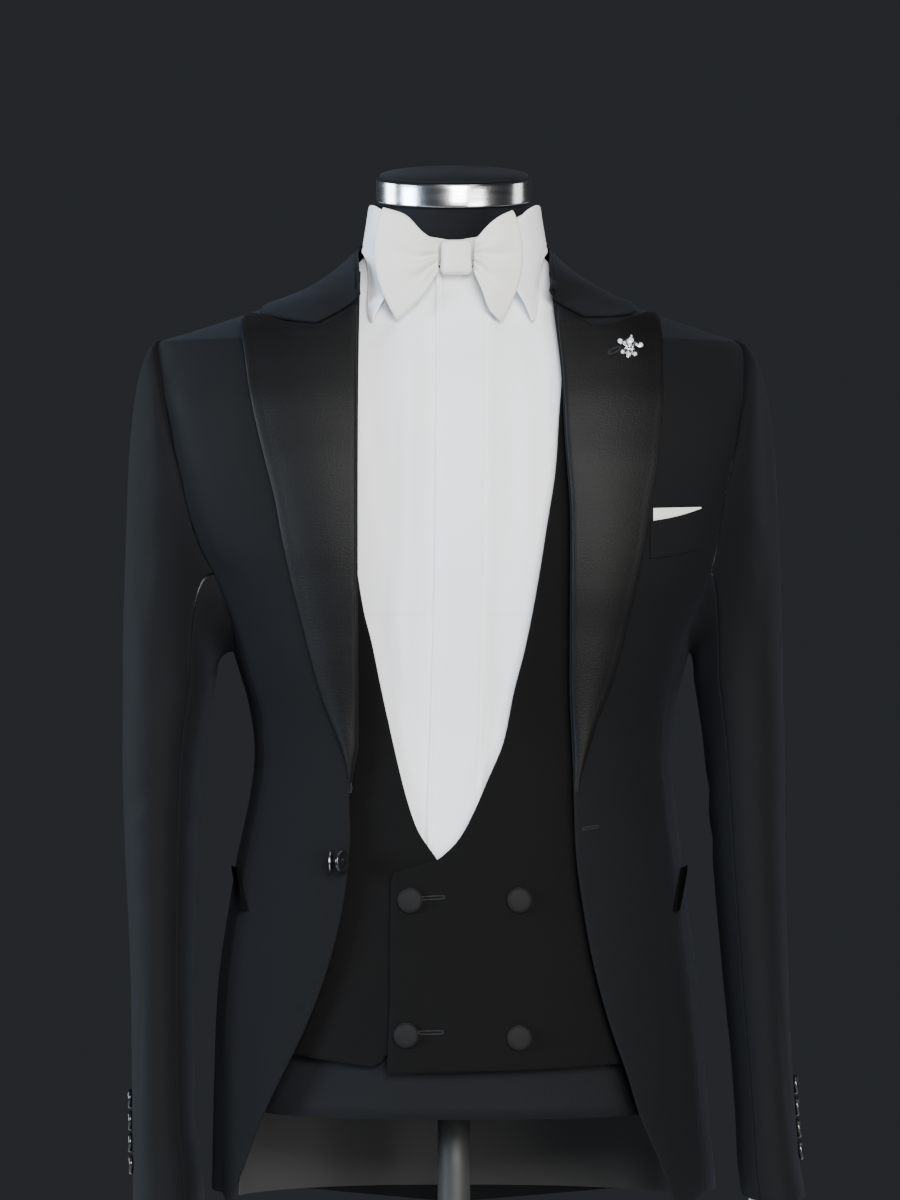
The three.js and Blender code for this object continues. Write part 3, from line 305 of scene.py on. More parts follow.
def turned(name, rings, lift=FORM_BOTTOM):
    """A closed solid through a stack of rings of points, [ring][column], with a fan of slivers at each end
    drawn to the ring's middle."""
    count = rings.shape[1]
    ends = [rings[:1].mean(axis=1, keepdims=True), rings[-1:].mean(axis=1, keepdims=True)]
    points = np.concatenate([rings.reshape(-1, 3), ends[0][0], ends[1][0]])
    j, i = np.meshgrid(np.arange(len(rings) - 1), np.arange(count), indexing="ij")
    after = (i + 1) % count
    quads = np.stack([j * count + i, j * count + after, (j + 1) * count + after, (j + 1) * count + i], -1)
    quads = quads.reshape(-1, 4)
    around = np.arange(count)
    low, high, top = len(points) - 2, len(points) - 1, (len(rings) - 1) * count
    step = (around + 1) % count
    triangles = np.concatenate([
        quads[:, [0, 1, 2]], quads[:, [0, 2, 3]],
        np.stack([step, around, np.full(count, low)], -1),
        np.stack([top + around, top + step, np.full(count, high)], -1),
    ])
    uv = np.stack([np.degrees(np.arctan2(points[:, 0], -points[:, 1])) * 0.0015, points[:, 2] / 1000], -1)
    return mesh_piece(name, points, triangles, uv, lift)


def tilted(points):
    """Leans the heights near the neck band: z grows by y times the tilt, from 690 up to the band."""
    share = smooth(points[..., 2], 690, BAND_BOTTOM)
    points[..., 2] += points[..., 1] * np.tan(np.radians(10)) * share
    return points


jersey = woven("form_jersey", (0.0014, 0.0018, 0.0028), (0.0045, 0.0054, 0.0075), 0.88, 0.03, (0.6, 0.7, 0.9),
               900, 0.00015, 9.0, 0.0)
form_heights = np.concatenate([np.linspace(TORSO_EDGE, 570, 58), np.linspace(574, BAND_BOTTOM, 48)])
form_angles = np.arange(96) * 3.75
form_inset = -1.5 * (1 - smooth(form_heights, 655, 662))
form_rings = on_shape(FORM, form_angles[None], form_heights[:, None], form_inset[:, None])
form_rings[..., 2] = form_heights[:, None]
finished(turned("form_body", tilted(form_rings)), jersey, "jersey", "form_torso")

# Neck band and cap: a bright brushed chrome band on the cut of the neck, and a domed black cap over it.


def neck_rings(profile):
    """Rings of radius and height above the neck's cut, in the plane that leans with it."""
    angle = np.radians(np.arange(128) * 2.8125)
    radius, above = np.array(profile, float).T[:, :, None]
    x = radius * np.sin(angle)
    y = -1.5 - (radius - 2) * np.cos(angle)
    return stacked(x, y, BAND_BOTTOM + SEAM + above + y * np.tan(np.radians(10)))


chrome = Finish("neck_chrome", Metallic=1.0, Specular_IOR_Level=0.5)
around = chrome.solid_place(1.0)
lines = chrome.node("TexNoise", Vector=chrome.node("VectorMath", {"operation": "MULTIPLY"}, i0=around,
                    i1=(9, 9, 900)), Scale=1.0, Detail=3.0)
cloud = chrome.noise(around, 30, 2.0)
chrome.feed("Base Color", chrome.mix(lines, (0.60, 0.62, 0.64), (0.86, 0.87, 0.88)))
chrome.feed("Roughness", lines * 0.10 + cloud * 0.08 + 0.10)
chrome.bump(lines, 0.00004)
band_profile = [[57.5, 0], [58.5, 0], [59.4, 0.3], [59.9, 0.8], [60, 1.5], [60, 5], [60, 9], [60, 13], [60, 16.5],
                [59.9, 17.2], [59.4, 17.7], [58.5, 18], [57.5, 18]]
finished(turned("form_neck_band_chrome", neck_rings(band_profile)), chrome.material, "chrome", "form_neck_band")

cap_profile = [[57, 18.3], [57.6, 18.7], [57.6, 20], [57, 21], [54.5, 22], [50, 23.1], [45, 24], [35, 25], [25, 25.7],
               [12, 26]]
finished(turned("form_neck_cap_cloth", neck_rings(cap_profile)), jersey, "jersey", "form_neck_cap")

# Stand: a round steel base plate with a rolled edge and a tube that carries the form.

stand_paint = Finish("stand_paint", Metallic=0.3, Specular_IOR_Level=0.5)
grit = stand_paint.noise(stand_paint.solid_place(1.0), 900, 3.0, 0.7)
wear = stand_paint.noise(stand_paint.solid_place(1.0), 14, 4.0, 0.6)
stand_paint.feed("Base Color", stand_paint.mix(wear, (0.030, 0.031, 0.032), (0.046, 0.047, 0.048)))
stand_paint.feed("Roughness", wear * 0.2 + grit * 0.1 + 0.35)
stand_paint.bump(grit, 0.00006)


def lathe(profile, columns):
    """Rings about the Z axis through [radius, height] rows."""
    angle = 2 * np.pi * np.arange(columns) / columns
    radius, height = np.array(profile, float).T[:, :, None]
    return stacked(radius * np.sin(angle), -radius * np.cos(angle), height)


base_profile = [[150, 0], [158.5, 0], [159.6, 0.5], [160, 1.5], [160, 9], [159.6, 10.4], [158.6, 11.5], [157, 12],
                [120, 12], [60, 12], [30, 12], [26, 12]]
finished(turned("base_plate", lathe(base_profile, 160), 0), stand_paint.material, "stand_grey", "stand_base")
pole_profile = [[12.5, 12.3], [12.5, 60], [12.5, 110], [12.5, 160], [12.5, 208.2]]
finished(turned("stand_tube", lathe(pole_profile, 64), 0), stand_paint.material, "stand_grey", "stand_pole")

# Jacket body: black wool fronts, side panels and backs, sewn at the side seams, the centre back and the
# shoulders, with a cutaway front. Each panel is a closed wall of cloth whose edges are turned in half
# round, so that two panels meet in a seam line.

JACKET = [
    [-90, 189, 203, 112, 128, 2.4, 2.4], [-50, 187, 202, 112, 126, 2.4, 2.4], [0, 186, 197, 112, 124, 2.4, 2.4],
    [91, 183, 190, 112, 121, 2.4, 2.4], [187, 170, 178, 109, 108, 2.4, 2.4], [284, 154, 168, 107, 85, 2.4, 2.4],
    [369, 173, 184, 120, 101, 2.4, 2.4], [413, 192, 207, 126, 111, 2.4, 2.4], [440, 210, 217, 127, 115, 2.4, 2.4],
    [470, 222, 224, 126, 118, 2.4, 2.4], [500, 229, 230, 123, 119, 2.4, 2.4], [525, 234, 234, 118, 118, 2.3, 2.3],
    [550, 235, 234, 112, 114, 2.2, 2.2], [576, 233, 230, 103, 106, 1.9, 1.9], [592, 231, 225, 97, 100, 1.65, 1.65],
    [599, 228, 219, 94, 97, 1.55, 1.55], [606, 207, 200, 92, 94, 1.5, 1.5], [614, 182, 176, 89, 90, 1.5, 1.5],
    [625, 149, 144, 85, 85, 1.5, 1.5], [634, 123, 121, 82, 81, 1.5, 1.5], [640, 110, 110, 80, 78, 1.55, 1.55],
    [648, 97, 96, 76.5, 74.5, 1.62, 1.62], [655, 89, 87, 73, 71, 1.7, 1.7], [667, 78, 76, 67, 66, 1.85, 1.85],
]
WOOL = 2.2


def creases(table, across, along):
    """Sum of soft troughs (or ridges, where the depth is negative) in a plane of millimetres. Each row is
    [across, along, to across, to along, depth, width]: a bell across the line, fading towards both ends
    and wandering a little to each side."""
    total = 0.0
    for a, b, to_a, to_b, depth, width in table:
        run = np.hypot(to_a - a, to_b - b)
        share = ((across - a) * (to_a - a) + (along - b) * (to_b - b)) / run ** 2
        aside = ((along - b) * (to_a - a) - (across - a) * (to_b - b)) / run
        aside = aside + 0.3 * width * np.sin(6.5 * share + a * 0.11)
        fade = np.sin(np.pi * np.clip(share * 0.94 + 0.03, 0, 1)) ** 0.8
        spread = width * (0.75 + 0.5 * np.clip(share, 0, 1))
        total = total - depth * fade * np.exp(-(aside / spread) ** 2)
    return total


def rimmed(count, length, rim):
    """Shares from 0 to 1 whose first and last steps lie at 0, 0.15, 0.5 and 1 times the rim's width."""
    near = np.multiply.outer(np.minimum(rim / length, 0.12), np.array([0, 0.15, 0.5, 1.0]))
    inner = np.linspace(0, 1, count)[1:-1]
    middle = near[..., -1:] + (1 - 2 * near[..., -1:]) * inner
    return np.concatenate([near, middle, 1 - near[..., ::-1]], axis=-1)


def cloth(name, place, columns, rows, thickness, away, ring=False):
    """A closed wall of cloth. Its outer face is place(s, t); the inner face lies the thickness further in
    along the normal, and the two come together in a half ellipse within half a thickness of each edge."""
    coarse = np.linspace(0, 1, 33)
    sample = place(*np.meshgrid(coarse, coarse))
    across_length = np.linalg.norm(np.diff(sample, axis=1), axis=-1).sum(axis=1)
    along_length = np.linalg.norm(np.diff(sample, axis=0), axis=-1).sum(axis=0).mean()
    rim = thickness / 2
    down = rimmed(rows, along_length, rim)
    if ring:
        s = np.broadcast_to(np.arange(columns) / columns, (len(down), columns))
        edge_s = np.ones(columns)
    else:
        s = rimmed(columns, np.interp(down, coarse, across_length), rim)
        edge_s = np.ones(s.shape[1])
        edge_s[:3] = edge_s[:-4:-1] = [0, 0.527, 0.866]
    t = np.broadcast_to(down[:, None], s.shape)
    edge_t = np.ones(len(down))
    edge_t[:3] = edge_t[:-4:-1] = [0, 0.527, 0.866]
    step = 0.004
    face = place(s, t)
    aside = place(np.minimum(s + step, 2 if ring else 1), t) - place(np.maximum(s - step, -1 if ring else 0), t)
    above = place(s, np.minimum(t + step, 1)) - place(s, np.maximum(t - step, 0))
    normal = np.cross(aside, above)
    normal /= np.maximum(np.linalg.norm(normal, axis=-1, keepdims=True), 1e-9)
    facing = np.sign((normal * (face - np.array(away, float))).sum(axis=-1).mean())
    normal *= facing
    half = (thickness(s, t) if callable(thickness) else thickness) / 2 * np.ones(s.shape)
    round_edge = (edge_t[:, None] * edge_s[None])[..., None]
    middle = face - normal * half[..., None]
    outer = middle + normal * half[..., None] * round_edge
    inner = middle - normal * half[..., None] * round_edge
    down_count, across_count = s.shape
    k = np.arange(s.size).reshape(s.shape)
    inside = np.broadcast_to(round_edge[..., 0] > 0, s.shape)
    twin = np.where(inside, s.size + np.cumsum(inside.ravel()).reshape(s.shape) - 1, k)
    points = np.concatenate([outer.reshape(-1, 3), inner[inside]])
    wrapped = (lambda a: np.concatenate([a, a[:, :1]], axis=1)) if ring else (lambda a: a)
    quads = []
    for index, flip in ((wrapped(k), facing < 0), (wrapped(twin), facing > 0)):
        quad = np.stack([index[:-1, :-1], index[:-1, 1:], index[1:, 1:], index[1:, :-1]], -1).reshape(-1, 4)
        quads.append(quad[:, ::-1] if flip else quad)
    run = np.linalg.norm(np.diff(face, axis=1, prepend=face[:, :1]), axis=-1).cumsum(axis=1)
    rise = np.linalg.norm(np.diff(face, axis=0, prepend=face[:1]), axis=-1).cumsum(axis=0)
    run = run - run[:, across_count // 2][:, None]
    uv = np.stack([run, np.broadcast_to(rise.mean(axis=1, keepdims=True), s.shape)], -1) / 1000
    uv = np.concatenate([uv.reshape(-1, 2), uv[inside]])
    return mesh_piece(name, points, np.concatenate(quads), uv)


# [degrees, height, to degrees, to height, depth, width], the degrees taken as 2.6 mm each
JACKET_CREASES = [
    [-66, 585, -58, 455, 1.6, 13], [-50, 590, -47, 500, 0.9, 15], [66, 585, 58, 450, 1.4, 13],
    [52, 592, 49, 505, 0.8, 15], [-74, 470, -40, 372, 1.2, 15], [74, 468, 42, 366, 1.1, 15],
    [-88, 330, -40, 296, 1.4, 12], [-84, 282, -38, 262, 0.9, 11], [88, 330, 42, 294, 1.3, 12],
    [86, 280, 44, 258, 0.9, 11], [-62, 200, -72, -20, -1.2, 16], [62, 200, 70, -20, -1.2, 16],
    [-50, 150, -58, -50, 1.0, 12], [52, 150, 60, -50, 1.0, 12], [-108, 420, -150, 330, 1.5, 14],
    [108, 420, 150, 330, 1.5, 14], [-100, 300, -165, 292, 1.8, 12], [100, 300, 165, 294, 1.7, 12],
    [-112, 262, -160, 272, 1.0, 10], [112, 262, 160, 270, 1.0, 10], [-128, 585, -138, 470, 1.2, 15],
    [128, 585, 138, 470, 1.2, 15], [-150, 180, -156, -60, -1.5, 15], [150, 180, 156, -60, -1.5, 15],
    [-172, 640, -148, 612, 0.8, 9], [172, 640, 148, 612, 0.8, 9],
]
for row in JACKET_CREASES:
    row[0] *= 2.6
    row[2] *= 2.6


def on_jacket(angle, height, out=0.0):
    """The jacket's outside with its creases, moved out."""
    fold = creases(JACKET_CREASES, angle * 2.6, height)
    return on_shape(JACKET, angle, height, out + fold)


def armhole_at(turn, within=0.0):
    """Half opening in degrees and height of the armhole at a turn: 0 front, 90 top."""
    sine = np.sin(np.radians(turn))
    share = np.abs(np.cos(np.radians(turn))) ** (1 + 0.35 * sine)
    return np.maximum(0, 25.5 * share - 0.9 * within), 480 + (119.5 - 0.9 * within) * sine


def armhole_half(height):
    """The armhole's half opening at a height."""
    sine = np.clip((height - 480) / 119.5, -1, 1)
    return armhole_at(np.degrees(np.arcsin(sine)))[0]


SIDE_SEAM_TOP = armhole_at(-42)[1]
ROLL_LEFT = [[-70, -170], [-52, -169], [-35, -162], [-7, -152], [27, -137], [65, -118], [103, -102], [141, -90],
             [187, -81], [228, -78], [247, -79], [274, -75], [291, -72], [622, -72], [667, -72]]
ROLL_RIGHT = [[-70, 172], [-52, 166], [-18, 153], [10, 141], [45, 130], [70, 121], [99, 112], [136, 103],
              [171, 97], [199, 93], [228, 91], [271, 90], [343, 87], [458, 87], [524, 83], [569, 81], [613, 77],
              [657, 73], [667, 72]]
FRONT_LEVELS = np.array([-64, -25, 25, 75, 130, 185, 240, 290, 340, 375, 400, 430, 465, 505, 540, 568, 578, 586,
                         592, 596, 598.5, 600, 612, 626, 640, 652])
BACK_LEVELS = np.concatenate([[-82], FRONT_LEVELS[1:]])


def level_at(levels, t):
    """A height from a list, straight between its entries."""
    return np.interp(t * (len(levels) - 1), np.arange(len(levels)), levels)


jacket_wool = woven("jacket_wool", (0.0012, 0.0014, 0.0019), (0.0036, 0.0041, 0.0052), 0.78, 0.03,
                    (0.62, 0.76, 1.0), 1100, 0.00022, 7.0, gloss=0.18)


def front_panel(side, roll):
    """A front: across from the cutaway edge to the side seam or armhole, up from the hem to the neck."""
    def place(s, t):
        level = level_at(FRONT_LEVELS, t)
        height = level + np.where(level < 0, 12 * s * (-level / 64), 0)
        start = angle_at(JACKET, table_at(roll, level), height)
        end = side * (90 - armhole_half(np.maximum(height, SIDE_SEAM_TOP)) - 0.15)
        return on_jacket(lerp(start, end, np.clip(s, 0, 1) ** 0.85), height)
    return place


def back_panel(side):
    """A back: across from the centre seam to the side seam or armhole; the skirt's hem rises to the side."""
    def place(s, t):
        level = level_at(BACK_LEVELS, t)
        height = level + np.where(level < 0, 26 * s * (-level / 82), 0)
        end = side * (90 + armhole_half(np.maximum(height, SIDE_SEAM_TOP)) + 0.15)
        return on_jacket(lerp(side * (180 - 0.15), end, s), height)
    return place


def side_panel(side):
    """A side body: across under the armhole from seam to seam, up from the hem to the armhole's curve."""
    def place(s, t):
        half, top = armhole_at(lerp(-42, -138, s))
        fore = np.where(s < 0.5, 1, -1)
        angle = side * (90 - fore * np.maximum(0, half - 0.15))
        return on_jacket(angle, lerp(lerp(-52, -56, s), top, t))
    return place


for side, word, roll in ((-1, "left", ROLL_LEFT), (1, "right", ROLL_RIGHT)):
    front = finished(cloth(f"front_{word}", front_panel(side, roll), 34, 130, WOOL, (0, 0, 300)),
                     jacket_wool, "wool", f"jacket_front_{word}")
    back = finished(cloth(f"back_{word}", back_panel(side), 30, 130, WOOL, (0, 0, 300)),
                    jacket_wool, "wool", f"jacket_back_{word}")
    panel = finished(cloth(f"side_{word}", side_panel(side), 26, 90, WOOL, (0, 0, 300)),
                     jacket_wool, "wool", f"jacket_side_{word}")

# Back lining: dark satin-backed cloth inside the skirt, which shows below the form.

lining_cloth = woven("jacket_lining_cloth", (0.030, 0.030, 0.031), (0.052, 0.052, 0.053), 0.75, 0.03,
                     (0.8, 0.85, 0.9), 1500, 0.00010, 8.0, 0.4)


def lining_panel(s, t):
    """The back's shape 4.2 mm further in, between 115 and 245 degrees."""
    return on_jacket(lerp(115, 245, s), lerp(-68, 120, t), -WOOL - 2)


lining = finished(cloth("back_lining", lining_panel, 50, 30, 1.0, (0, 0, 20)), lining_cloth, "lining",
                  "jacket_lining")

# Jacket sleeves: a top sleeve and an under sleeve each, sewn at two seams and set into the armhole. The
# head falls from the armhole's rim; soft folds cross the elbow.

# [height, outer x, inner x, middle y, half depth]
SLEEVE_LEFT = [[-70, 246, 191, -22, 54], [-30, 246.6, 194.3, -20, 55], [0, 247, 198.5, -18, 57],
               [104, 248.5, 199.5, -12, 63], [222, 254, 196.6, -4, 70], [284, 255.7, 192.7, 0, 73],
               [340, 255.7, 184, 2, 72]]
SLEEVE_RIGHT = [[-56, 270, 221, -22, 54], [-30, 265.5, 218.3, -20, 55], [0, 262.5, 217, -18, 57],
                [104, 257.7, 208, -12, 63], [222, 255.4, 198.5, -4, 70], [284, 255.4, 193.9, 0, 73],
                [340, 254, 186, 2, 72]]
BACK_SEAM = [[-70, 98], [60, 110], [340, 146], [600, 150]]
# [turn, height, to turn, to height, depth, width], a turn's degree taken as 1.1 mm
SLEEVE_CREASES = [
    [-20, 268, 70, 232, 1.7, 9], [-30, 228, 60, 214, 1.3, 8], [-28, 190, 40, 172, 1.0, 8],
    [120, 250, 200, 262, 1.6, 9], [200, 240, 300, 262, 1.8, 9], [210, 205, 310, 222, 1.5, 9],
    [30, 420, 24, 320, -1.0, 13], [70, 520, 84, 380, 1.0, 14], [110, 430, 118, 300, 1.0, 12],
    [20, 130, 52, -20, 0.9, 10], [150, 120, 130, -40, 1.0, 10], [250, 150, 268, 0, 1.0, 10],
    [250, 470, 300, 400, 1.8, 10], [170, 480, 230, 420, 1.6, 10], [4, 470, 30, 400, 1.1, 10],
]
for row in SLEEVE_CREASES:
    row[0] *= 1.1
    row[2] *= 1.1


def sleeve_point(table, side, turn, height, inset=0.0, depth_inset=None):
    """A tube of superellipses of power 2.3 at a turn, 0 in front and 90 at the outer side."""
    outer, inner = table_at(table, height, 1), table_at(table, height, 2)
    deep = table_at(table, height, 4) - (inset if depth_inset is None else depth_inset)
    sine, cosine = np.sin(np.radians(turn)), np.cos(np.radians(turn))
    x = (outer + inner) / 2 + np.sign(sine) * ((outer - inner) / 2 - inset) * np.abs(sine) ** (2 / 2.3)
    y = table_at(table, height, 3) - np.sign(cosine) * deep * np.abs(cosine) ** (2 / 2.3)
    return stacked(side * x, y, height)


def head_point(start, end, rise, share):
    """A quadratic curve from the armhole out and down to the tube; its control stands above the end."""
    control = end.copy()
    control[..., 2] = start[..., 2] + rise
    share = np.asarray(share)[..., None]
    return start * (1 - share) ** 2 + control * 2 * share * (1 - share) + end * share ** 2


def sleeve_surface(table, side, turn, step):
    """The bare sleeve: the head for steps 0 to 5, the tube's rings from 340 to the hem for 5 to 13."""
    hem = table[0][0]
    half, height = armhole_at(turn, -0.9)
    fore = np.where(np.cos(np.radians(turn)) > 0, 1, -1)
    start = on_shape(JACKET, side * (90 - fore * half), height)
    end = sleeve_point(table, side, turn, np.full(np.shape(turn), 340.0))
    share = np.interp(step, np.arange(6), [0, 0.14, 0.32, 0.52, 0.76, 1])
    head = head_point(start, end, 6 * np.maximum(0, np.sin(np.radians(turn))), share)
    height = np.interp(step - 5, np.arange(9), [340, 284, 222, 160, 104, 50, 0, hem / 2, hem])
    tube = sleeve_point(table, side, turn, height)
    return np.where((np.asarray(step) < 5)[..., None], head, tube)


def sleeve_panel(table, side, start_of, end_of):
    """Part of a sleeve between two seams, with its creases along the sleeve's own normal."""
    hem = table[0][0]

    def place(s, t):
        seam = table_at(BACK_SEAM, lerp(600, hem, t))
        turn = lerp(start_of(seam) + 0.4, end_of(seam) - 0.4, s)
        step = np.clip(13 * t, 0, 13)
        point = sleeve_surface(table, side, turn, step)
        across = sleeve_surface(table, side, turn + 3, step) - sleeve_surface(table, side, turn - 3, step)
        low, high = np.maximum(step - 0.3, 0), np.minimum(step + 0.3, 13)
        along = sleeve_surface(table, side, turn, high) - sleeve_surface(table, side, turn, low)
        normal = np.cross(across, along) * -side
        normal /= np.maximum(np.linalg.norm(normal, axis=-1, keepdims=True), 1e-9)
        fold = creases(SLEEVE_CREASES, np.mod(turn + 30, 360) * 1.1 - 33, point[..., 2])
        rope = 0.9 * np.exp(-((step - 0.45) / 0.4) ** 2) * smooth(np.sin(np.radians(turn)), -0.3, 0.5)
        pucker = 0.35 * np.sin(np.radians(turn) * 17) * np.exp(-(step / 1.4) ** 2) * smooth(step, 0.1, 0.6)
        return point + normal * (fold * smooth(step, 0.4, 2) + rope + pucker)[..., None]
    return place


for side, word, table in ((-1, "left", SLEEVE_LEFT), (1, "right", SLEEVE_RIGHT)):
    top = sleeve_panel(table, side, lambda seam: -30, lambda seam: seam)
    under = sleeve_panel(table, side, lambda seam: seam, lambda seam: 330)
    centre = (side * 224, -8, 200)
    piece = finished(cloth(f"top_sleeve_{word}", top, 44, 120, WOOL, centre), jacket_wool, "wool",
                     f"jacket_top_sleeve_{word}")
    piece = finished(cloth(f"under_sleeve_{word}", under, 40, 120, WOOL, centre), jacket_wool, "wool",
                     f"jacket_under_sleeve_{word}")

# Jacket collar: one strip folded round the neck, whose leaf lies on the shoulders up to the lapels.

# [share from front to centre back, fold x, y, height, body angle and height under the fold, the same at the edge]
COLLAR_CURVE = [[0, 73, -72, 629.5, 36, 629.5, 38, 609], [0.12, 73.2, -60, 642, 48, 640, 54, 614],
                [0.25, 73, -42, 655, 62, 651, 74, 623], [0.5, 74, 0, 669, 92, 660, 98, 632],
                [0.75, 61, 45, 682, 132, 662, 132, 640], [1, 0, 73, 689, 180, 664, 180, 643]]
COLLAR_RIGHT_SHIFT = [0, 3, 0, 5, 2, 5, 2, 4.5]


def collar_leaf(s, t):
    """From the fold down onto the jacket, which it follows from about half its width to the outer edge; the
    fold itself rolls 4 mm inwards."""
    share = 1 - np.abs(2 * s - 1)
    side = np.where(s < 0.5, -1, 1)
    apart = np.where(side > 0, (1 - share) ** 6, 0)
    at = [table_at(COLLAR_CURVE, share, column) + COLLAR_RIGHT_SHIFT[column] * apart for column in range(8)]
    fold = stacked(side * at[1], at[2], at[3] + WOOL)
    laid = on_shape(JACKET, side * lerp(at[4], at[6], t), lerp(at[5], at[7], t), WOOL + 0.9)
    point = lerp(fold, laid, smooth(t, 0, 0.55)[..., None])
    roll = np.clip(t / 0.09, 0, 1)
    point[..., 2] -= 2.5 * (1 - np.sqrt(1 - (1 - roll) ** 2))
    return point


collar = finished(cloth("collar", collar_leaf, 120, 34, WOOL, (0, 0, 560)), jacket_wool, "wool", "jacket_collar")

# Lapels: peak lapels in fine-ribbed satin, rolled over from the front edge and padded at their outer edge.

# [height, x] of the outer edge; [share, height] of the top edge with its notch and peak
LAPEL_LEFT = [[250, -77.5], [277, -81], [329, -99], [382, -113], [441, -127], [477, -134], [508, -142], [536, -149],
              [565, -155], [587, -158], [607, -161], [615, -160]]
LAPEL_RIGHT = [[247, 93.5], [257, 94], [279, 99], [308, 107], [337, 118], [366, 126], [392, 132], [419, 138],
               [448, 144], [477, 148], [503, 153], [530, 156], [556, 158], [587, 158], [614, 156]]
LAPEL_TOP_LEFT = [[0, 623], [0.4, 602.5], [0.7, 609], [0.94, 615], [1, 610]]
LAPEL_TOP_RIGHT = [[0, 623], [0.42, 604], [0.7, 610.5], [0.94, 616], [1, 610.5]]
LAPEL_LEVELS = [254, 290, 340, 375, 400, 430, 465, 505, 540, 570, 588]

satin = woven("lapel_satin", (0.0010, 0.0010, 0.0012), (0.0044, 0.0044, 0.0047), 0.53, 0.02, (0.9, 0.93, 1.0),
              900, 0.00045, 6.0, 0.15, 0.95, 0.19)


def lapel_out(height, s):
    """How far a lapel stands off the front: more at its middle and near the peak, nearly nothing where it
    runs out into the front's edge."""
    lift = 0.7 + 0.5 * smooth(height, 590, 612) + 2 * smooth(height, 560, 600) * smooth(s, 0.2, 0.7)
    off = WOOL + lift + 3 * np.sin(np.pi * np.minimum(1, s * 0.92))
    return off * lerp(0.2, 1, smooth(height, 252, 300))


def lapel_panel(edge, roll, top):
    """Across from the roll line to the outer edge, up through the levels to the notched top edge; the first
    3 mm curl back round the roll."""
    def place(s, t):
        step = t * 11
        body = level_at(np.array(LAPEL_LEVELS), np.minimum(step, 10) / 10)
        height = np.where(step > 10, lerp(588, table_at(top, s), step - 10), body)
        level = np.minimum(height, 610)
        width = np.abs(table_at(edge, level) - table_at(roll, level) * 1.004)
        x = lerp(table_at(roll, level) * 1.004, table_at(edge, level), s)
        from_roll = np.clip(s * width / 3.5, 0, 1)
        curl = -2.6 * (1 - np.sqrt(np.maximum(0, 1 - (1 - from_roll) ** 2)))
        from_edge = np.clip((1 - s) * width / 7, 0, 1)
        pad = 0.25 * np.sin(np.pi * from_edge)
        return on_jacket(angle_at(JACKET, x, height), height, lapel_out(height, s) + curl + pad)
    return place


for word, edge, roll, top in (("left", LAPEL_LEFT, ROLL_LEFT, LAPEL_TOP_LEFT),
                              ("right", LAPEL_RIGHT, ROLL_RIGHT, LAPEL_TOP_RIGHT)):
    lapel = finished(cloth(f"lapel_{word}", lapel_panel(edge, roll, top), 46, 110, WOOL, (0, 0, 450)), satin, "satin",
                     f"jacket_lapel_{word}")

# Lapel pin: a fleur-de-lis of polished silver-coloured metal, set with small clear stones, and the worked
# buttonhole beside it. Both lie on the right lapel.


def on_right_lapel(x, height, out):
    """The outside of the right lapel at an x and height in front, moved out."""
    roll = table_at(ROLL_RIGHT, height) * 1.004
    share = (x - roll) / (table_at(LAPEL_RIGHT, height) - roll)
    return on_jacket(angle_at(JACKET, x, height), height, lapel_out(height, share) + out)


def stacks(name, many, lift=FORM_BOTTOM):
    """Several closed ring stacks in one mesh, each fanned shut at both ends."""
    pieces = [turned(f"{name}_{k}", rings, lift) for k, rings in enumerate(many)]
    with bpy.context.temp_override(active_object=pieces[0], selected_editable_objects=pieces):
        bpy.ops.object.join()
    pieces[0].name = name
    return pieces[0]


def pad(rows, height, columns=14, count=26):
    """A rounded bar in the pin's own plane: rows are [share, x, y, half width] along its spine, and each
    ring is a half ellipse of that width and the height, closed flat underneath."""
    share = np.linspace(0, 1, count)[:, None]
    x, y, wide = (table_at(rows, share, column) for column in (1, 2, 3))
    ahead = np.minimum(share + 0.02, 1), np.maximum(share - 0.02, 0)
    run = [table_at(rows, ahead[0], column) - table_at(rows, ahead[1], column) for column in (1, 2)]
    length = np.maximum(np.hypot(*run), 1e-6)
    taper = np.sqrt(np.clip(1 - np.abs(2 * share - 1) ** 6, 0.02, 1))
    turn = 2 * np.pi * np.arange(columns) / columns
    side = np.cos(turn) * wide * taper
    rise = np.where(np.sin(turn) > 0, np.sin(turn) * height, np.sin(turn) * 0.25) * taper
    return stacked(x + side * run[1] / length, y - side * run[0] / length, rise)


PIN_X, PIN_HEIGHT, PIN_LEAN = 130.7, 586.8, np.radians(-9)


def pinned(points, gap=0.7):
    """From the pin's own plane onto the lapel, leaning 9 degrees."""
    x = PIN_X + points[..., 0] * np.cos(PIN_LEAN) - points[..., 1] * np.sin(PIN_LEAN)
    height = PIN_HEIGHT + points[..., 0] * np.sin(PIN_LEAN) + points[..., 1] * np.cos(PIN_LEAN)
    return on_right_lapel(x, height, points[..., 2] + gap)


PIN_CENTRE = [[0, 0, -1.2, 1.2], [0.25, 0, 1.6, 3.1], [0.5, 0, 4.0, 4.0], [0.78, 0, 6.6, 2.4], [1, 0, 8.9, 0.3]]
PIN_SIDE = [[0, 1.5, -0.8, 1.2], [0.3, 3.2, 1.0, 1.5], [0.55, 5.4, 2.8, 1.9], [0.8, 7.6, 2.8, 2.6],
            [1, 8.6, 1.4, 2.1]]
PIN_BAND = [[0, -4.0, -1.9, 1.1], [0.5, 0, -1.8, 1.2], [1, 4.0, -1.9, 1.1]]
PIN_FOOT = [[0, 0, -2.2, 1.2], [0.5, 0, -4.8, 1.9], [0.85, 0, -7.4, 1.7], [1, 0, -8.6, 0.8]]
PIN_FOOT_SIDE = [[0, 1.2, -2.4, 1.0], [0.5, 3.4, -4.0, 1.7], [0.85, 5.2, -5.2, 1.8], [1, 5.9, -5.8, 1.0]]
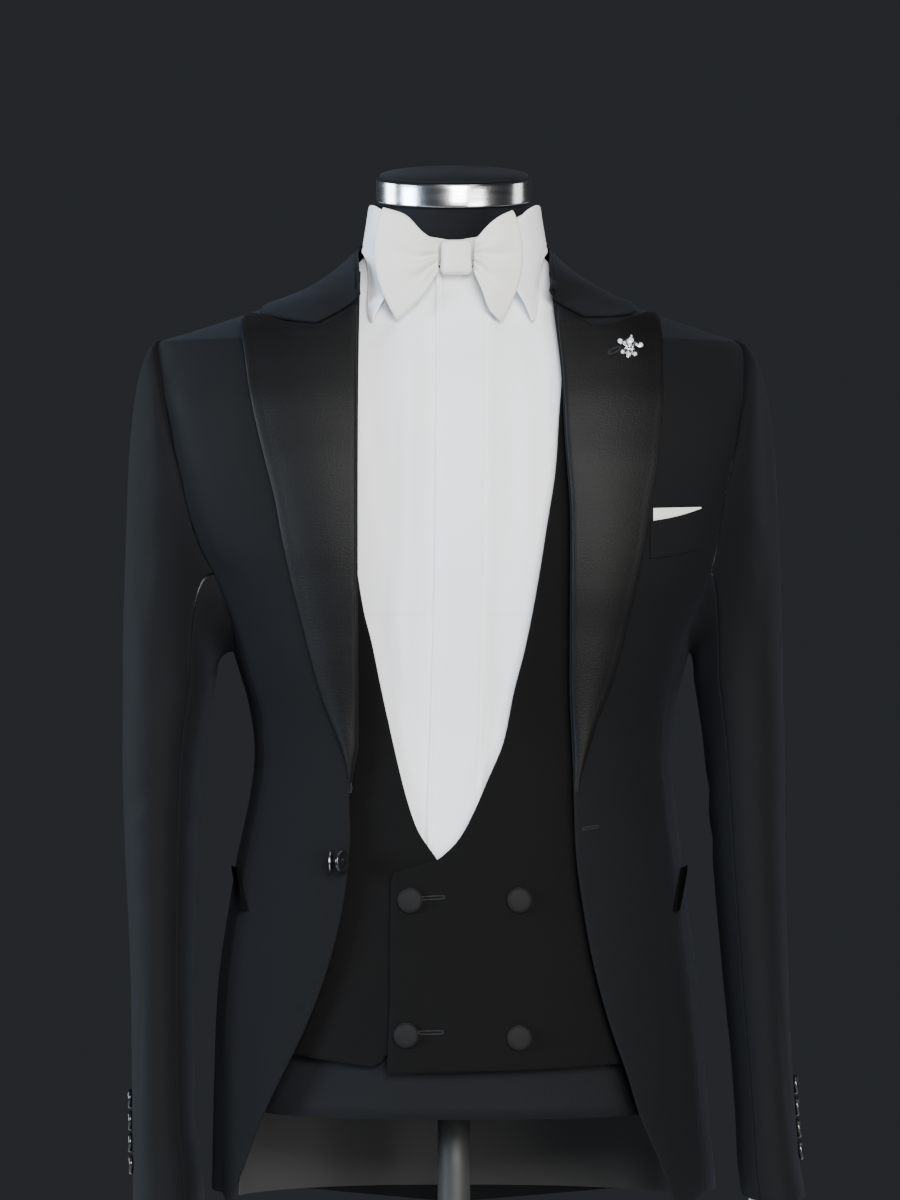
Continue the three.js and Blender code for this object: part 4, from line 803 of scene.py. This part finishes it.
PIN_STONES = [[0, 4.0, 2.1], [0, 1.0, 1.2], [0, 6.9, 0.9], [0, -1.9, 0.9], [0, -6.2, 1.3]]
PIN_STONES += [[side * x, y, r] for side in (-1, 1) for x, y, r in (
    (7.9, 2.1, 1.8), (4.5, 1.8, 1.0), (2.4, -1.9, 0.8), (4.9, -5.0, 1.3))]

silver = Finish("pin_silver", Metallic=1.0)
tarnish = silver.noise(silver.solid_place(1.0), 700, 3.0)
silver.feed("Base Color", silver.mix(tarnish, (0.50, 0.51, 0.53), (0.88, 0.89, 0.90)))
silver.feed("Roughness", tarnish * 0.18 + 0.14)
silver.bump(tarnish, 0.00003)
mirror = lambda rows: [[share, -x, y, wide] for share, x, y, wide in rows]
petals = [pad(PIN_CENTRE, 1.5), pad(PIN_SIDE, 1.4), pad(mirror(PIN_SIDE), 1.4), pad(PIN_BAND, 1.8),
          pad(PIN_FOOT, 1.3), pad(PIN_FOOT_SIDE, 1.3), pad(mirror(PIN_FOOT_SIDE), 1.3)]
finished(stacks("lapel_pin_metal", [pinned(rings) for rings in petals]), silver.material, "pin_silver",
         "jacket_lapel_pin")


def stone(x, y, radius):
    """A cut stone: an eight-sided crown that narrows to a flat table."""
    turn = 2 * np.pi * np.arange(8) / 8
    rows = np.array([[1.0, 0.9], [1.0, 1.2], [0.62, 1.75], [0.55, 1.8]])
    wide, rise = rows.T[:, :, None]
    return stacked(x + radius * wide * np.cos(turn), y + radius * wide * np.sin(turn), rise * (0.7 + 0.3 * radius))


crystal = Finish("pin_crystal", Roughness=0.04, Specular_IOR_Level=0.9, Coat_Weight=1.0)
glint = crystal.noise(crystal.solid_place(1.0), 900, 1.0)
crystal.feed("Base Color", crystal.mix(glint, (0.55, 0.58, 0.62), (0.95, 0.96, 0.98)))
stones = finished(stacks("lapel_pin_stones", [pinned(stone(*row)) for row in PIN_STONES]), crystal.material,
                  "pin_silver")
for polygon in stones.data.polygons:
    polygon.use_smooth = False


def worked_hole(name, surface, low, high, material, slot, wide=1.1, thick=0.55):
    """A worked buttonhole: a thread-covered bead that runs round a slit. surface(x, height, out) is what it
    is sewn on; low and high are the slit's ends as (x, height)."""
    low, high = np.array(low, float), np.array(high, float)
    along = (high - low) / np.linalg.norm(high - low)
    aside = np.array([-along[1], along[0]])
    u = np.linspace(0, 2 * np.pi, 120, endpoint=False)[:, None]
    turn = 2 * np.pi * np.arange(10) / 10
    beat = 1 + 0.12 * np.sin(u * 36)
    reach = np.sign(np.cos(u)) * np.abs(np.cos(u)) ** 0.35
    swing = np.sign(np.sin(u)) * np.abs(np.sin(u)) ** 0.6
    out = thick * beat * np.sin(turn) + thick * 0.5
    spread = wide * swing + thick * beat * np.cos(turn) * np.sign(swing)
    end = thick * beat * np.cos(turn) * np.sign(reach) * (np.abs(reach) > 0.9)
    middle, half = (low + high) / 2, np.linalg.norm(high - low) / 2
    place = middle + (half * reach + end)[..., None] * along + spread[..., None] * aside
    points = surface(place[..., 0], place[..., 1], out)
    count, columns = points.shape[:2]
    j, i = np.meshgrid(np.arange(count), np.arange(columns), indexing="ij")
    k = lambda a, b: (a % count) * columns + b % columns
    quads = np.stack([k(j, i), k(j, i + 1), k(j + 1, i + 1), k(j + 1, i)], -1).reshape(-1, 4)
    uv = points.reshape(-1, 3)[:, [0, 2]] / 1000
    piece = mesh_piece(name, points.reshape(-1, 3), quads, uv)
    return finished(piece, material, slot)


silk = woven("buttonhole_silk", (0.003, 0.0035, 0.0045), (0.012, 0.013, 0.016), 0.5, 0.1, (0.9, 0.95, 1), 3000,
             0.0001, 80.0)


def on_right_front(x, height, out):
    """The right front at an x and height, moved out."""
    return on_jacket(angle_at(JACKET, x, height), height, out)


worked_hole("lapel_buttonhole", on_right_lapel, (115.5, 582.5), (123.5, 586), silk, "satin", 1.4, 0.7)
worked_hole("front_buttonhole", on_right_front, (97, 227.5), (109, 229.5), silk, "wool", 0.9, 0.5)

# Pockets: a breast welt with a white pocket square, and a slanting satin jetting on each hip.


def strip(low_x, high_x, low, high, out):
    """A patch on the jacket between two x and two edges; the lower edge sags by 1.2 mm between its ends."""
    def place(s, t):
        bottom = lerp(low[0], low[1], s) - 1.2 * np.sin(np.pi * np.clip(s, 0, 1))
        height = lerp(bottom, lerp(high[0], high[1], s), t)
        return on_jacket(angle_at(JACKET, lerp(low_x, high_x, s), height), height, out)
    return place


welt = finished(cloth("breast_welt", strip(147, 186, (431, 439), (459, 467), 1.3), 20, 14, 1.2, (0, 0, 450)),
                jacket_wool, "wool", "jacket_breast_welt")
square_cotton = woven("pocket_square_cotton", (0.66, 0.67, 0.66), (0.84, 0.84, 0.82), 0.75, 0.10, (1, 1, 1),
                      1300, 0.00010, 30.0, 0.0)
square = finished(cloth("pocket_square_cloth", strip(149, 186, (459.5, 469.2), (469, 470.4), 2.0), 24, 8, 1.2,
                        (0, 0, 450)), square_cotton, "cotton", "pocket_square")


def jetting(side, low):
    """A strip 5 mm wide that leans towards the side as it rises."""
    def place(s, t):
        height = lerp(163, 195, t)
        return on_jacket(angle_at(JACKET, low + side * (8 * t + 5 * (s - 0.5)), height), height, 3.3)
    return place


jetting_satin = woven("jetting_satin", (0.0004, 0.0004, 0.0006), (0.0014, 0.0014, 0.0018), 0.62, 0.0,
                      (1, 1, 1), 900, 0.00030, 6.0, gloss=0.08)
for side, word, low in ((-1, "left", -158), (1, "right", 167)):
    jet = finished(cloth(f"hip_jetting_{word}", jetting(side, low), 10, 24, 1.4, (0, 0, 180)), jetting_satin, "satin",
                   f"jacket_jetting_{word}")

# Waistcoat: black wool, double-breasted, with a deep V. The over front closes to the left on four covered
# buttons, and the under front shows beside and below it.

VEE_LEFT = [[204, -12], [227, -27], [251, -35], [276, -41], [305, -47], [334, -53], [369, -60], [394, -66],
            [450, -74], [520, -80], [600, -84], [630, -84]]
VEE_RIGHT = [[204, -12], [219, 3], [239, 14], [265, 25], [293, 36], [334, 44], [366, 52], [414, 61], [458, 68],
             [498, 74], [538, 77], [573, 80], [630, 84]]
OVER_LEFT_EDGE = [[46, -49], [74, -48], [99, -47], [133, -47], [194, -46]]
WAISTCOAT_ARMHOLE = [[348, 90], [372, 72], [400, 62], [450, 55], [520, 50], [580, 52], [612, 66], [622, 90]]
WAISTCOAT_LEVELS = [204, 235, 285, 325, 348, 358, 372, 400, 440, 500, 545, 575, 597, 612, 620]
# [degrees, height, to degrees, to height, depth, width], the degrees taken as 2 mm each
WAISTCOAT_CREASES = [
    [-30, 150, 30, 128, 1.1, 13], [-16, 110, 44, 96, 0.9, 11], [-40, 100, -64, 64, 1.0, 9], [26, 190, 60, 140, 1.0, 12],
    [-30, 240, -60, 200, 0.9, 12], [30, 260, 64, 220, 0.9, 12], [-50, 320, -30, 250, 0.7, 12],
    [120, 260, 170, 250, 1.2, 11], [-120, 260, -170, 248, 1.2, 11], [130, 180, 160, 90, 0.9, 13],
    [-130, 180, -160, 90, 0.9, 13],
]
for row in WAISTCOAT_CREASES:
    row[0] *= 2.0
    row[2] *= 2.0

waistcoat_wool = woven("waistcoat_wool", (0.0012, 0.0012, 0.0013), (0.0036, 0.0034, 0.0035), 0.82, 0.03,
                       (0.9, 0.9, 1.0), 1000, 0.00018, 8.0, 0.5, gloss=0.12)


def on_waistcoat(angle, height, out=0.0):
    """The form moved out to the waistcoat's outside, less over the shoulders, with its creases."""
    signed = np.where(angle > 180, angle - 360, angle)
    ridge = np.minimum(1, np.abs(np.abs(signed) - 90) / 22)
    base = lerp(8.8, lerp(6.1, 7.5, ridge), smooth(height, 480, 580))
    fold = creases(WAISTCOAT_CREASES, signed * 2.0, height)
    return on_shape(FORM, angle, height, base + fold + out)


def waistcoat_edge(height):
    """Angle of the side seam, or of the armhole above it."""
    return np.where(height < 348, 89.85, np.minimum(89.85, table_at(WAISTCOAT_ARMHOLE, height)))


OVER_LEVELS = np.array([44, 90, 140, 194, *WAISTCOAT_LEVELS])
UNDER_LEVELS = np.array([50, 90, 140, 194, *WAISTCOAT_LEVELS])


def over_front(s, t):
    """Across from the closing edge or the V to the side; the hem rises 10 mm to the side."""
    level = level_at(OVER_LEVELS, t)
    height = np.where(level < 60, level + 10 * s, level)
    lower, upper = table_at(OVER_LEFT_EDGE, level), table_at(VEE_RIGHT, level)
    x = np.where(level < 194, lower, np.where(level > 204, upper, lerp(-46, -12, (level - 194) / 10)))
    start = angle_at(FORM, x, height)
    return on_waistcoat(lerp(start, waistcoat_edge(height), s), height, 2 * (1 - s))


UNDER_HEM = [[0, 63], [0.138, 62], [0.168, 49], [0.3, 52], [0.5, 57], [1, 60]]


def under_front(s, t):
    """Across from its edge beneath the over front, or the V above it, to the side. It lies 1.7 mm further in
    beneath the over front, and its hem steps up beside the over front's edge."""
    height = level_at(UNDER_LEVELS, t)
    height = lerp(table_at(UNDER_HEM, s), height, smooth(height, 50, 90))
    x = np.where(height < 204, -12, table_at(VEE_LEFT, height))
    angle = lerp(angle_at(FORM, x, height), -waistcoat_edge(height), s)
    beneath = smooth(section_point(FORM, angle, height)[..., 0], -85, -55) * (1 - smooth(height, 230, 300))
    return on_waistcoat(angle, height, -1.7 * beneath)


def waistcoat_back(s, t):
    """Round the back between the side seams or armholes."""
    height = level_at(np.array([50, 120, 187, 240, 290, 325, *WAISTCOAT_LEVELS[4:]]), t)
    edge = 180 - waistcoat_edge(height)
    return on_waistcoat(lerp(edge, 360 - edge, s), height)


over = finished(cloth("waistcoat_over", over_front, 50, 120, 2.0, (0, 0, 300)), waistcoat_wool, "waistcoat_wool",
                "waistcoat_front_over")
under = finished(cloth("waistcoat_under", under_front, 40, 120, 2.0, (0, 0, 300)), waistcoat_wool, "waistcoat_wool",
                 "waistcoat_front_under")
behind = finished(cloth("waistcoat_back_cloth", waistcoat_back, 70, 90, 2.0, (0, 0, 300)), waistcoat_wool,
                  "waistcoat_wool", "waistcoat_back")

# Worked buttonholes of the over front, beside the two buttons at its closing edge.


def on_over_front(x, height, out):
    """The over front near its edge, moved out."""
    return on_waistcoat(angle_at(FORM, x, height), height, out + 1.75)


worked_hole("waistcoat_buttonhole_upper", on_over_front, (-25, 175.5), (-7, 176.5), silk, "waistcoat_wool", 1.2)
worked_hole("waistcoat_buttonhole_lower", on_over_front, (-26, 75), (-8, 75.5), silk, "waistcoat_wool", 1.2)

# Shirt: white cotton with a plain front, a folded placket and soft upright folds where it is drawn into the
# collar and held by the waistcoat.

SHIRT_LEVELS = [75, 187, 240, 290, 340, 385, 394, 412, 440, 500, 540, 557, 567, 573, 589, 597, 612]
PLACKET_LEFT = [[75, -19], [227, -20], [325, -17], [475, -14], [650, -13]]
NECK_EDGE = [[0, 652], [12, 652], [25, 646], [45, 646], [60, 654], [75, 663.5], [90, 668], [180, 668]]
# [x, height, to x, to height, depth, width]
SHIRT_CREASES = [
    [-21, 642, -19, 330, 4.6, 7], [-35, 645, -31, 360, -2.8, 7], [-47, 612, -43, 400, 2.4, 7],
    [-62, 596, -56, 450, 1.8, 6], [-28, 430, -26, 260, 2.4, 5], [-40, 420, -33, 270, -2.2, 6],
    [-56, 400, -34, 275, 1.6, 6], [-30, 300, -22, 214, 1.4, 5], [-66, 560, -62, 450, -1.0, 6],
    [46, 640, 42, 420, 1.4, 8], [60, 560, 50, 380, -1.1, 7], [36, 470, 28, 300, 1.2, 6], [44, 390, 22, 250, 1.5, 6],
    [56, 612, 66, 550, 1.4, 6], [-46, 616, -66, 590, 1.4, 5], [30, 330, 10, 222, 1.1, 5],
]

shirt_cotton = woven("shirt_cotton", (0.86, 0.89, 0.95), (0.97, 0.975, 0.99), 0.72, 0.12, (0.95, 0.97, 1.0),
                     1500, 0.00008, 16.0, 0.0)


def shirt_armhole(turn, within=0.0):
    """Half opening and height of the shirt's armhole at a turn."""
    sine = np.sin(np.radians(turn))
    share = np.abs(np.cos(np.radians(turn))) ** (1 + 0.3 * sine)
    return np.maximum(0, 24 * share - 0.9 * within), 481 + (92 - 0.9 * within) * sine


def shirt_edge(height):
    """Angle of the side seam or armhole at a height."""
    sine = np.clip((height - 481) / 92, -1, 1)
    return 89.85 - shirt_armhole(np.degrees(np.arcsin(sine)))[0]


def neck_height(angle):
    """Height of the neck seam at an angle: lower in front."""
    return table_at(NECK_EDGE, np.abs(np.mod(angle + 180, 360) - 180))


def shirt_height(step, angle):
    """Level rows up to the shoulders, then rows that rise to the neck seam."""
    flat = np.interp(step, np.arange(17), SHIRT_LEVELS)
    return np.where(step <= 16, flat, lerp(612, neck_height(angle), (step - 16) / 3))


def on_shirt(angle, height, out=0.0):
    """The form moved out to the shirt, with the front's folds measured in x."""
    base = on_shape(FORM, angle, height)
    fold = creases(SHIRT_CREASES, base[..., 0], height) * smooth(-base[..., 1], 30, 60)
    return on_shape(FORM, angle, height, 3.2 + out + fold)


def shirt_panel(angle_of):
    """A shirt panel whose columns follow angle_of(s, edge, level)."""
    def place(s, t):
        step = t * 19
        level = shirt_height(step, 0.0)
        angle = angle_of(s, shirt_edge(np.minimum(level, 612)), level)
        return on_shirt(angle, shirt_height(step, angle))
    return place


for side, word in ((-1, "left"), (1, "right")):
    panel = shirt_panel(lambda s, edge, level: lerp(angle_at(FORM, 7 + side * 0.15, level), side * edge, s))
    piece = finished(cloth(f"shirt_front_{word}_cloth", panel, 44, 120, 1.2, (0, 0, 300)), shirt_cotton, "cotton",
                     f"shirt_front_{word}")
piece = finished(cloth("shirt_back_cloth", shirt_panel(lambda s, edge, level: lerp(180 - edge, 180 + edge, s)),
                       60, 90, 1.2, (0, 0, 300)), shirt_cotton, "cotton", "shirt_back")


def placket_strip(s, t):
    """A strip 41 mm wide down the front, 4.6 mm out, with a row of stitches near each edge."""
    height = np.minimum(shirt_height(t * 19, 0.0), 650)
    x = table_at(PLACKET_LEFT, height) + 41 * s
    stitch = -0.45 * np.exp(-((np.abs(s - 0.5) * 41 - 16) / 0.8) ** 2)
    base = creases(SHIRT_CREASES, x, height)
    return on_shape(FORM, angle_at(FORM, x, height), height, 4.9 + base + stitch)


piece = finished(cloth("shirt_placket_cloth", placket_strip, 40, 110, 1.0, (0, 0, 300)), shirt_cotton, "cotton",
                 "shirt_placket")

# Shirt collar: a stand close round the neck and a leaf turned down over it, stitched near its edge, with
# two points under the bow.

COLLAR_LEAF = [[600, 81, 78, 98, 80, 2.5, 2.2], [617, 80, 77, 93, 76, 2.5, 2.2], [640, 76, 75, 87, 72, 2.2, 2.1],
               [662, 72.5, 73.5, 76, 67, 2, 2], [690, 68, 69, 67, 63, 2, 2], [718, 64, 65, 63, 60, 2, 2]]
LEAF_EDGE = [[0, 640], [40, 613], [48, 612], [61, 647], [68, 659], [75, 665], [90, 669], [120, 671],
             [180, 672]]
STAND_TOP = [[0, 665], [20, 667], [32, 676], [46, 688], [60, 697], [75, 701], [90, 702], [180, 699]]


def collar_stand(s, t):
    """A band from the neck seam to the fold, 2.1 mm off the neck."""
    angle = 360 * s
    folded = np.abs(np.mod(angle + 180, 360) - 180)
    height = lerp(neck_height(angle) + 2, table_at(STAND_TOP, folded), t)
    return tilted(on_shape(FORM, angle, height, 2.1))


stand = finished(cloth("collar_stand_cloth", collar_stand, 120, 16, 1.5, (0, 0, 680), ring=True), shirt_cotton,
                 "cotton", "shirt_collar_stand")


def collar_fall(s, t):
    """From the fold down to the leaf's edge; at its top it rolls 3 mm inwards, and a stitch line runs 5 mm
    from the edge."""
    across = 2 * s - 1
    share = np.abs(across)
    angle = lerp(180, lerp(15, 46, t), share) * np.where(across < 0, -1, 1)
    folded = np.abs(angle)
    top = table_at(STAND_TOP, folded) + 3.5
    height = lerp(top, table_at(LEAF_EDGE, folded), t)
    roll = np.clip((top - height) / 3.5, 0, 1)
    stitch = -0.35 * np.exp(-(((1 - t) * 40 - 5) / 0.9) ** 2)
    return on_shape(COLLAR_LEAF, angle, height, stitch - 1.6 * (1 - np.sqrt(1 - (1 - roll) ** 2)))


leaf = finished(cloth("collar_leaf_cloth", collar_fall, 130, 30, 1.2, (0, 0, 660)), shirt_cotton, "cotton",
                "shirt_collar_leaf")

# Shirt sleeves and cuffs: the sleeves hang inside the jacket's, and stiff double cuffs show below them.

SHIRT_INSET = [[-90, 6], [-10, 6.5], [104, 8], [320, 9]]
SHIRT_DEPTH_INSET = [[-90, 6], [-10, 7], [160, 12], [320, 23]]


def shirt_sleeve_point(table, side, turn, height):
    """The jacket sleeve's tube made smaller by the insets."""
    return sleeve_point(table, side, turn, height, table_at(SHIRT_INSET, height), table_at(SHIRT_DEPTH_INSET, height))


def shirt_sleeve(table, side, hem):
    """Head and tube of a shirt sleeve, for steps 0 to 4 and 4 to 10."""
    def place(s, t):
        turn, step = 360 * s, t * 10
        half, height = shirt_armhole(turn, 1)
        fore = np.where(np.cos(np.radians(turn)) > 0, 1, -1)
        start = on_shape(FORM, side * (90 - fore * half), height, 3.2)
        end = shirt_sleeve_point(table, side, turn, np.full(np.shape(turn), 330.0))
        head = head_point(start, end, 4, np.interp(step, np.arange(5), [0, 0.2, 0.45, 0.72, 1]))
        height = np.interp(step - 4, np.arange(7), [330, 284, 222, 160, 104, 50, hem])
        return np.where((step < 4)[..., None], head, shirt_sleeve_point(table, side, turn, height))
    return place


for side, word, table, hem in ((-1, "left", SLEEVE_LEFT, -30), (1, "right", SLEEVE_RIGHT, -10)):
    centre = (side * 224, -8, 200)
    piece = finished(cloth(f"shirt_sleeve_{word}_cloth", shirt_sleeve(table, side, hem), 56, 60, 1.2, centre, True),
                     shirt_cotton, "cotton", f"shirt_sleeve_{word}")
    low = table[0][0] - 14

    def cuff_wall(s, t):
        """The tube between the sleeve's hem and the cuff's edge, with a stitch line 5 mm above it."""
        height = lerp(hem - SEAM, low, t)
        stitch = 0.3 * np.exp(-((height - low - 5) / 0.9) ** 2)
        point = shirt_sleeve_point(table, side, 360 * s, height)
        inwards = np.sign(np.array([side * 224, -20, 0]) - point) * [1, 1, 0]
        return point + inwards * stitch[..., None]

    piece = finished(cloth(f"cuff_{word}", cuff_wall, 90, 26, 2.0, centre, True), shirt_cotton, "cotton",
                     f"shirt_cuff_{word}")

# Bow tie: ivory cloth. A band goes round the collar, and two wings are pleated into a knot.

ivory = woven("bow_ivory", (0.74, 0.74, 0.68), (0.88, 0.88, 0.83), 0.78, 0.15, (1, 1, 0.97), 1200, 0.00012,
              22.0, 0.1)
BAND_MIDDLE = [[0, 664], [60, 676], [90, 683], [180, 688]]


def bow_band(s, t):
    """A band 18 mm high round the collar stand."""
    angle = 360 * s
    folded = np.abs(np.mod(angle + 180, 360) - 180)
    return on_shape(FORM, angle, table_at(BAND_MIDDLE, folded) + lerp(-9, 9, t), 4.6)


band = finished(cloth("bow_band_cloth", bow_band, 110, 14, 1.5, (0, 0, 680), ring=True), ivory, "ivory", "bow_band")

# [share from the knot, lower x, lower height, upper x, upper height]
WING_LEFT = [[0, 11.1, 649, 11.1, 671], [0.35, 21, 633, 23, 678], [0.7, 32, 621, 38, 692], [1, 43, 611, 54, 698]]
WING_RIGHT = [[0, 14.1, 649, 14.1, 671], [0.35, 21, 633, 24, 682], [0.7, 28, 618, 36, 691], [1, 36, 610, 45, 696]]
# [share up at the knot, share up at the wing's end, depth, spread, where it has died out]
PLEATS = [[0.56, 0.60, 3.4, 0.050, 1.2], [0.36, 0.24, 3.2, 0.050, 1.0], [0.80, 0.88, 1.8, 0.050, 0.8],
          [0.68, 0.76, -1.6, 0.070, 0.9], [0.46, 0.44, -1.6, 0.060, 1.0], [0.18, 0.10, 1.4, 0.050, 0.7]]


def bow_wing(side, table):
    """A fan from the knot to the end, bowed forwards by a sine, with pleats that start at the knot and die
    out towards the end."""
    def place(s, t):
        at = [table_at(table, s, column) for column in (0, 1, 2, 3, 4)]
        x = lerp(at[1], at[3], t) + 12 * s * s * np.clip(np.sin(np.pi * t), 0, 1) ** 0.8
        height = lerp(at[2], at[4], t)
        y = -77.5 - 8 * np.sin(np.pi * np.clip(s, 0, 1) ** 0.9) - 1.5 * s * s
        for start, end, depth, spread, faded in PLEATS:
            middle = lerp(start, end, s) + 0.02 * np.sin(9 * s)
            reach = np.clip(s / 0.12, 0, 1) * (1 - smooth(s, 0.2 * faded, faded))
            y = y + depth * reach * np.exp(-((t - middle) / (spread * (1 + 0.9 * s))) ** 2)
        return stacked(side * x, y, height)
    return place


for side, word, table in ((-1, "left", WING_LEFT), (1, "right", WING_RIGHT)):
    wing_piece = finished(cloth(f"wing_{word}", bow_wing(side, table), 60, 60, 5.0, (side * 30, 0, 655)), ivory,
                          "ivory", f"bow_wing_{word}")


def knot_rings(columns, rows):
    """A rounded box of power 3 whose faces draw in at the middle and roll over at the top and bottom."""
    t = np.linspace(0, 1, rows)[:, None]
    turn = 2 * np.pi * np.arange(columns) / columns
    height = lerp(646.6, 672.4, t)
    roll = np.sqrt(np.maximum(0, 1 - np.abs(2 * t - 1) ** 5))
    waist = 1 - 0.06 * np.sin(np.pi * t) ** 2
    half, deep = lerp(9, 12.4, roll) * waist, lerp(6, 10.3, roll)
    x = 1.5 + half * np.sign(np.sin(turn)) * np.abs(np.sin(turn)) ** (2 / 3)
    fold = 0.5 * np.exp(-((x - 6.5) / 1.1) ** 2) + 0.4 * np.exp(-((x + 4.6) / 1.0) ** 2)
    y = -74.2 - (deep - fold * (np.cos(turn) > 0)) * np.sign(np.cos(turn)) * np.abs(np.cos(turn)) ** (2 / 3)
    return stacked(x, y, height)


knot = finished(turned("bow_knot_cloth", knot_rings(64, 40)), ivory, "ivory", "bow_knot")

# Buttons: covered ones on the waistcoat and glossy horn ones on the sleeves. The CAD nodes give their places.

covered = woven("covered_button", (0.0014, 0.0014, 0.0016), (0.0048, 0.0046, 0.0050), 0.72, 0.04, (0.8, 0.85, 1.0),
                900, 0.00014, 60.0, 0.3)
gloss = Finish("gloss_button_resin", Specular_IOR_Level=0.6, Coat_Weight=0.4)
swirl = gloss.noise(gloss.solid_place(1.0), 420, 4.0, 0.6)
gloss.feed("Base Color", gloss.mix(swirl, (0.004, 0.004, 0.005), (0.014, 0.014, 0.016)))
gloss.feed("Roughness", swirl * 0.15 + 0.14)
gloss.bump(swirl, 0.00002)


def frame_of(node):
    """Middle, outward axis and half thickness of a flat round CAD node, from the spread of its points."""
    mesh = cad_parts[node].data
    points = np.zeros(len(mesh.vertices) * 3)
    mesh.vertices.foreach_get("co", points)
    points = np.unique(points.reshape(-1, 3).round(7), axis=0) * 1000
    middle = (points.max(axis=0) + points.min(axis=0)) / 2
    spread = np.linalg.svd(points - points.mean(axis=0))[2]
    axis = spread[2]
    depth = (points - middle) @ axis
    return middle, axis, np.abs(depth).max()


def disc(name, middle, axis, profile, columns=48, holes=False):
    """A turned button: [radius, height] rows about the axis from the middle's back face."""
    axis = axis / np.linalg.norm(axis)
    aside = np.cross(axis, [0, 0, 1.0])
    aside /= np.linalg.norm(aside)
    up = np.cross(aside, axis)
    angle = 2 * np.pi * np.arange(columns) / columns
    radius, height = np.array(profile, float).T[:, :, None, None]
    around = np.cos(angle)[None, :, None] * aside + np.sin(angle)[None, :, None] * up
    return turned(name, middle + radius * around + height * axis, 0)


def outward_axis(axis, centre):
    """The axis turned to point away from the figure's middle."""
    away = np.array([centre[0], centre[1], 0.0])
    return axis if axis @ away > 0 else -axis


for word in ("upper_left", "upper_right", "lower_left", "lower_right"):
    middle, axis, half = frame_of(f"waistcoat_button_{word}")
    axis = axis if axis[1] < 0 else -axis
    rows = [[7.5, -half], [9.0, -half + 0.3], [9.5, -half + 1.2], [9.4, -half + 2.2], [8.8, half - 1.1],
            [7.6, half - 0.45], [6.0, half - 0.15], [4.0, half], [2.0, half + 0.1]]
    finished(disc(f"covered_button_{word}", middle, axis, rows), covered, "waistcoat_wool",
             f"waistcoat_button_{word}")

for word in ("left", "right"):
    for k in (1, 2, 3, 4):
        middle, axis, half = frame_of(f"sleeve_button_{word}_{k}")
        axis = outward_axis(axis, middle)
        rows = [[6.2, -half], [7.2, -half + 0.3], [7.5, -half + 1.0], [7.5, half - 0.9], [7.1, half - 0.2],
                [6.4, half], [5.7, half - 0.15], [5.2, half - 0.6], [4.0, half - 0.75], [2.0, half - 0.8]]
        finished(disc(f"horn_button_{word}_{k}", middle, axis, rows), gloss.material, "gloss_button",
                 f"sleeve_button_{word}_{k}")

for word in ("front", "back"):
    middle, axis, half = frame_of(f"link_button_{word}")
    axis = axis * (1 if (axis[0] > 0) == (word == "front") else -1)
    rows = [[7.7, -half], [8.6, -half + 0.25], [9, -half + 0.8], [8.9, half - 0.7], [8.3, half - 0.1], [7.5, half],
            [6.8, half - 0.2], [6.0, half - 0.5], [3.0, half - 0.5], [1.9, half], [0.8, half + 0.3]]
    finished(disc(f"link_disc_{word}", middle, axis, rows), gloss.material, "gloss_button", f"link_button_{word}")
    if word == "back":
        # A thin silver ring round the back disc's edge is a painted highlight: it stands in for the bright line along
        # that edge of the button.
        rim = [[8.85, -0.25], [9.1, -0.2], [9.15, 0], [9.1, 0.2], [8.85, 0.25]]
        finished(disc("link_rim_painted_highlight", middle, axis, rim), silver.material, "gloss_button")
thread = woven("button_thread", (0.004, 0.004, 0.005), (0.016, 0.017, 0.02), 0.7, 0.1, (1, 1, 1), 2500, 0.0001, 50.0)
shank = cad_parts["link_shank"]
shank.data.materials.clear()
shank.data.materials.append(thread)

floor_paint = Finish("studio_floor", Roughness=0.75)
speck = floor_paint.noise(floor_paint.solid_place(1.0), 3.0, 3.0)
floor_paint.feed("Base Color", floor_paint.mix(speck, (0.60, 0.61, 0.62), (0.66, 0.67, 0.68)))
floor = turned("studio_floor", lathe([[978, -4], [980, -3], [980, -1.5], [978, -0.3], [970, -0.1], [20, -0.1]], 96), 0)
floor.data.materials.append(floor_paint.material)
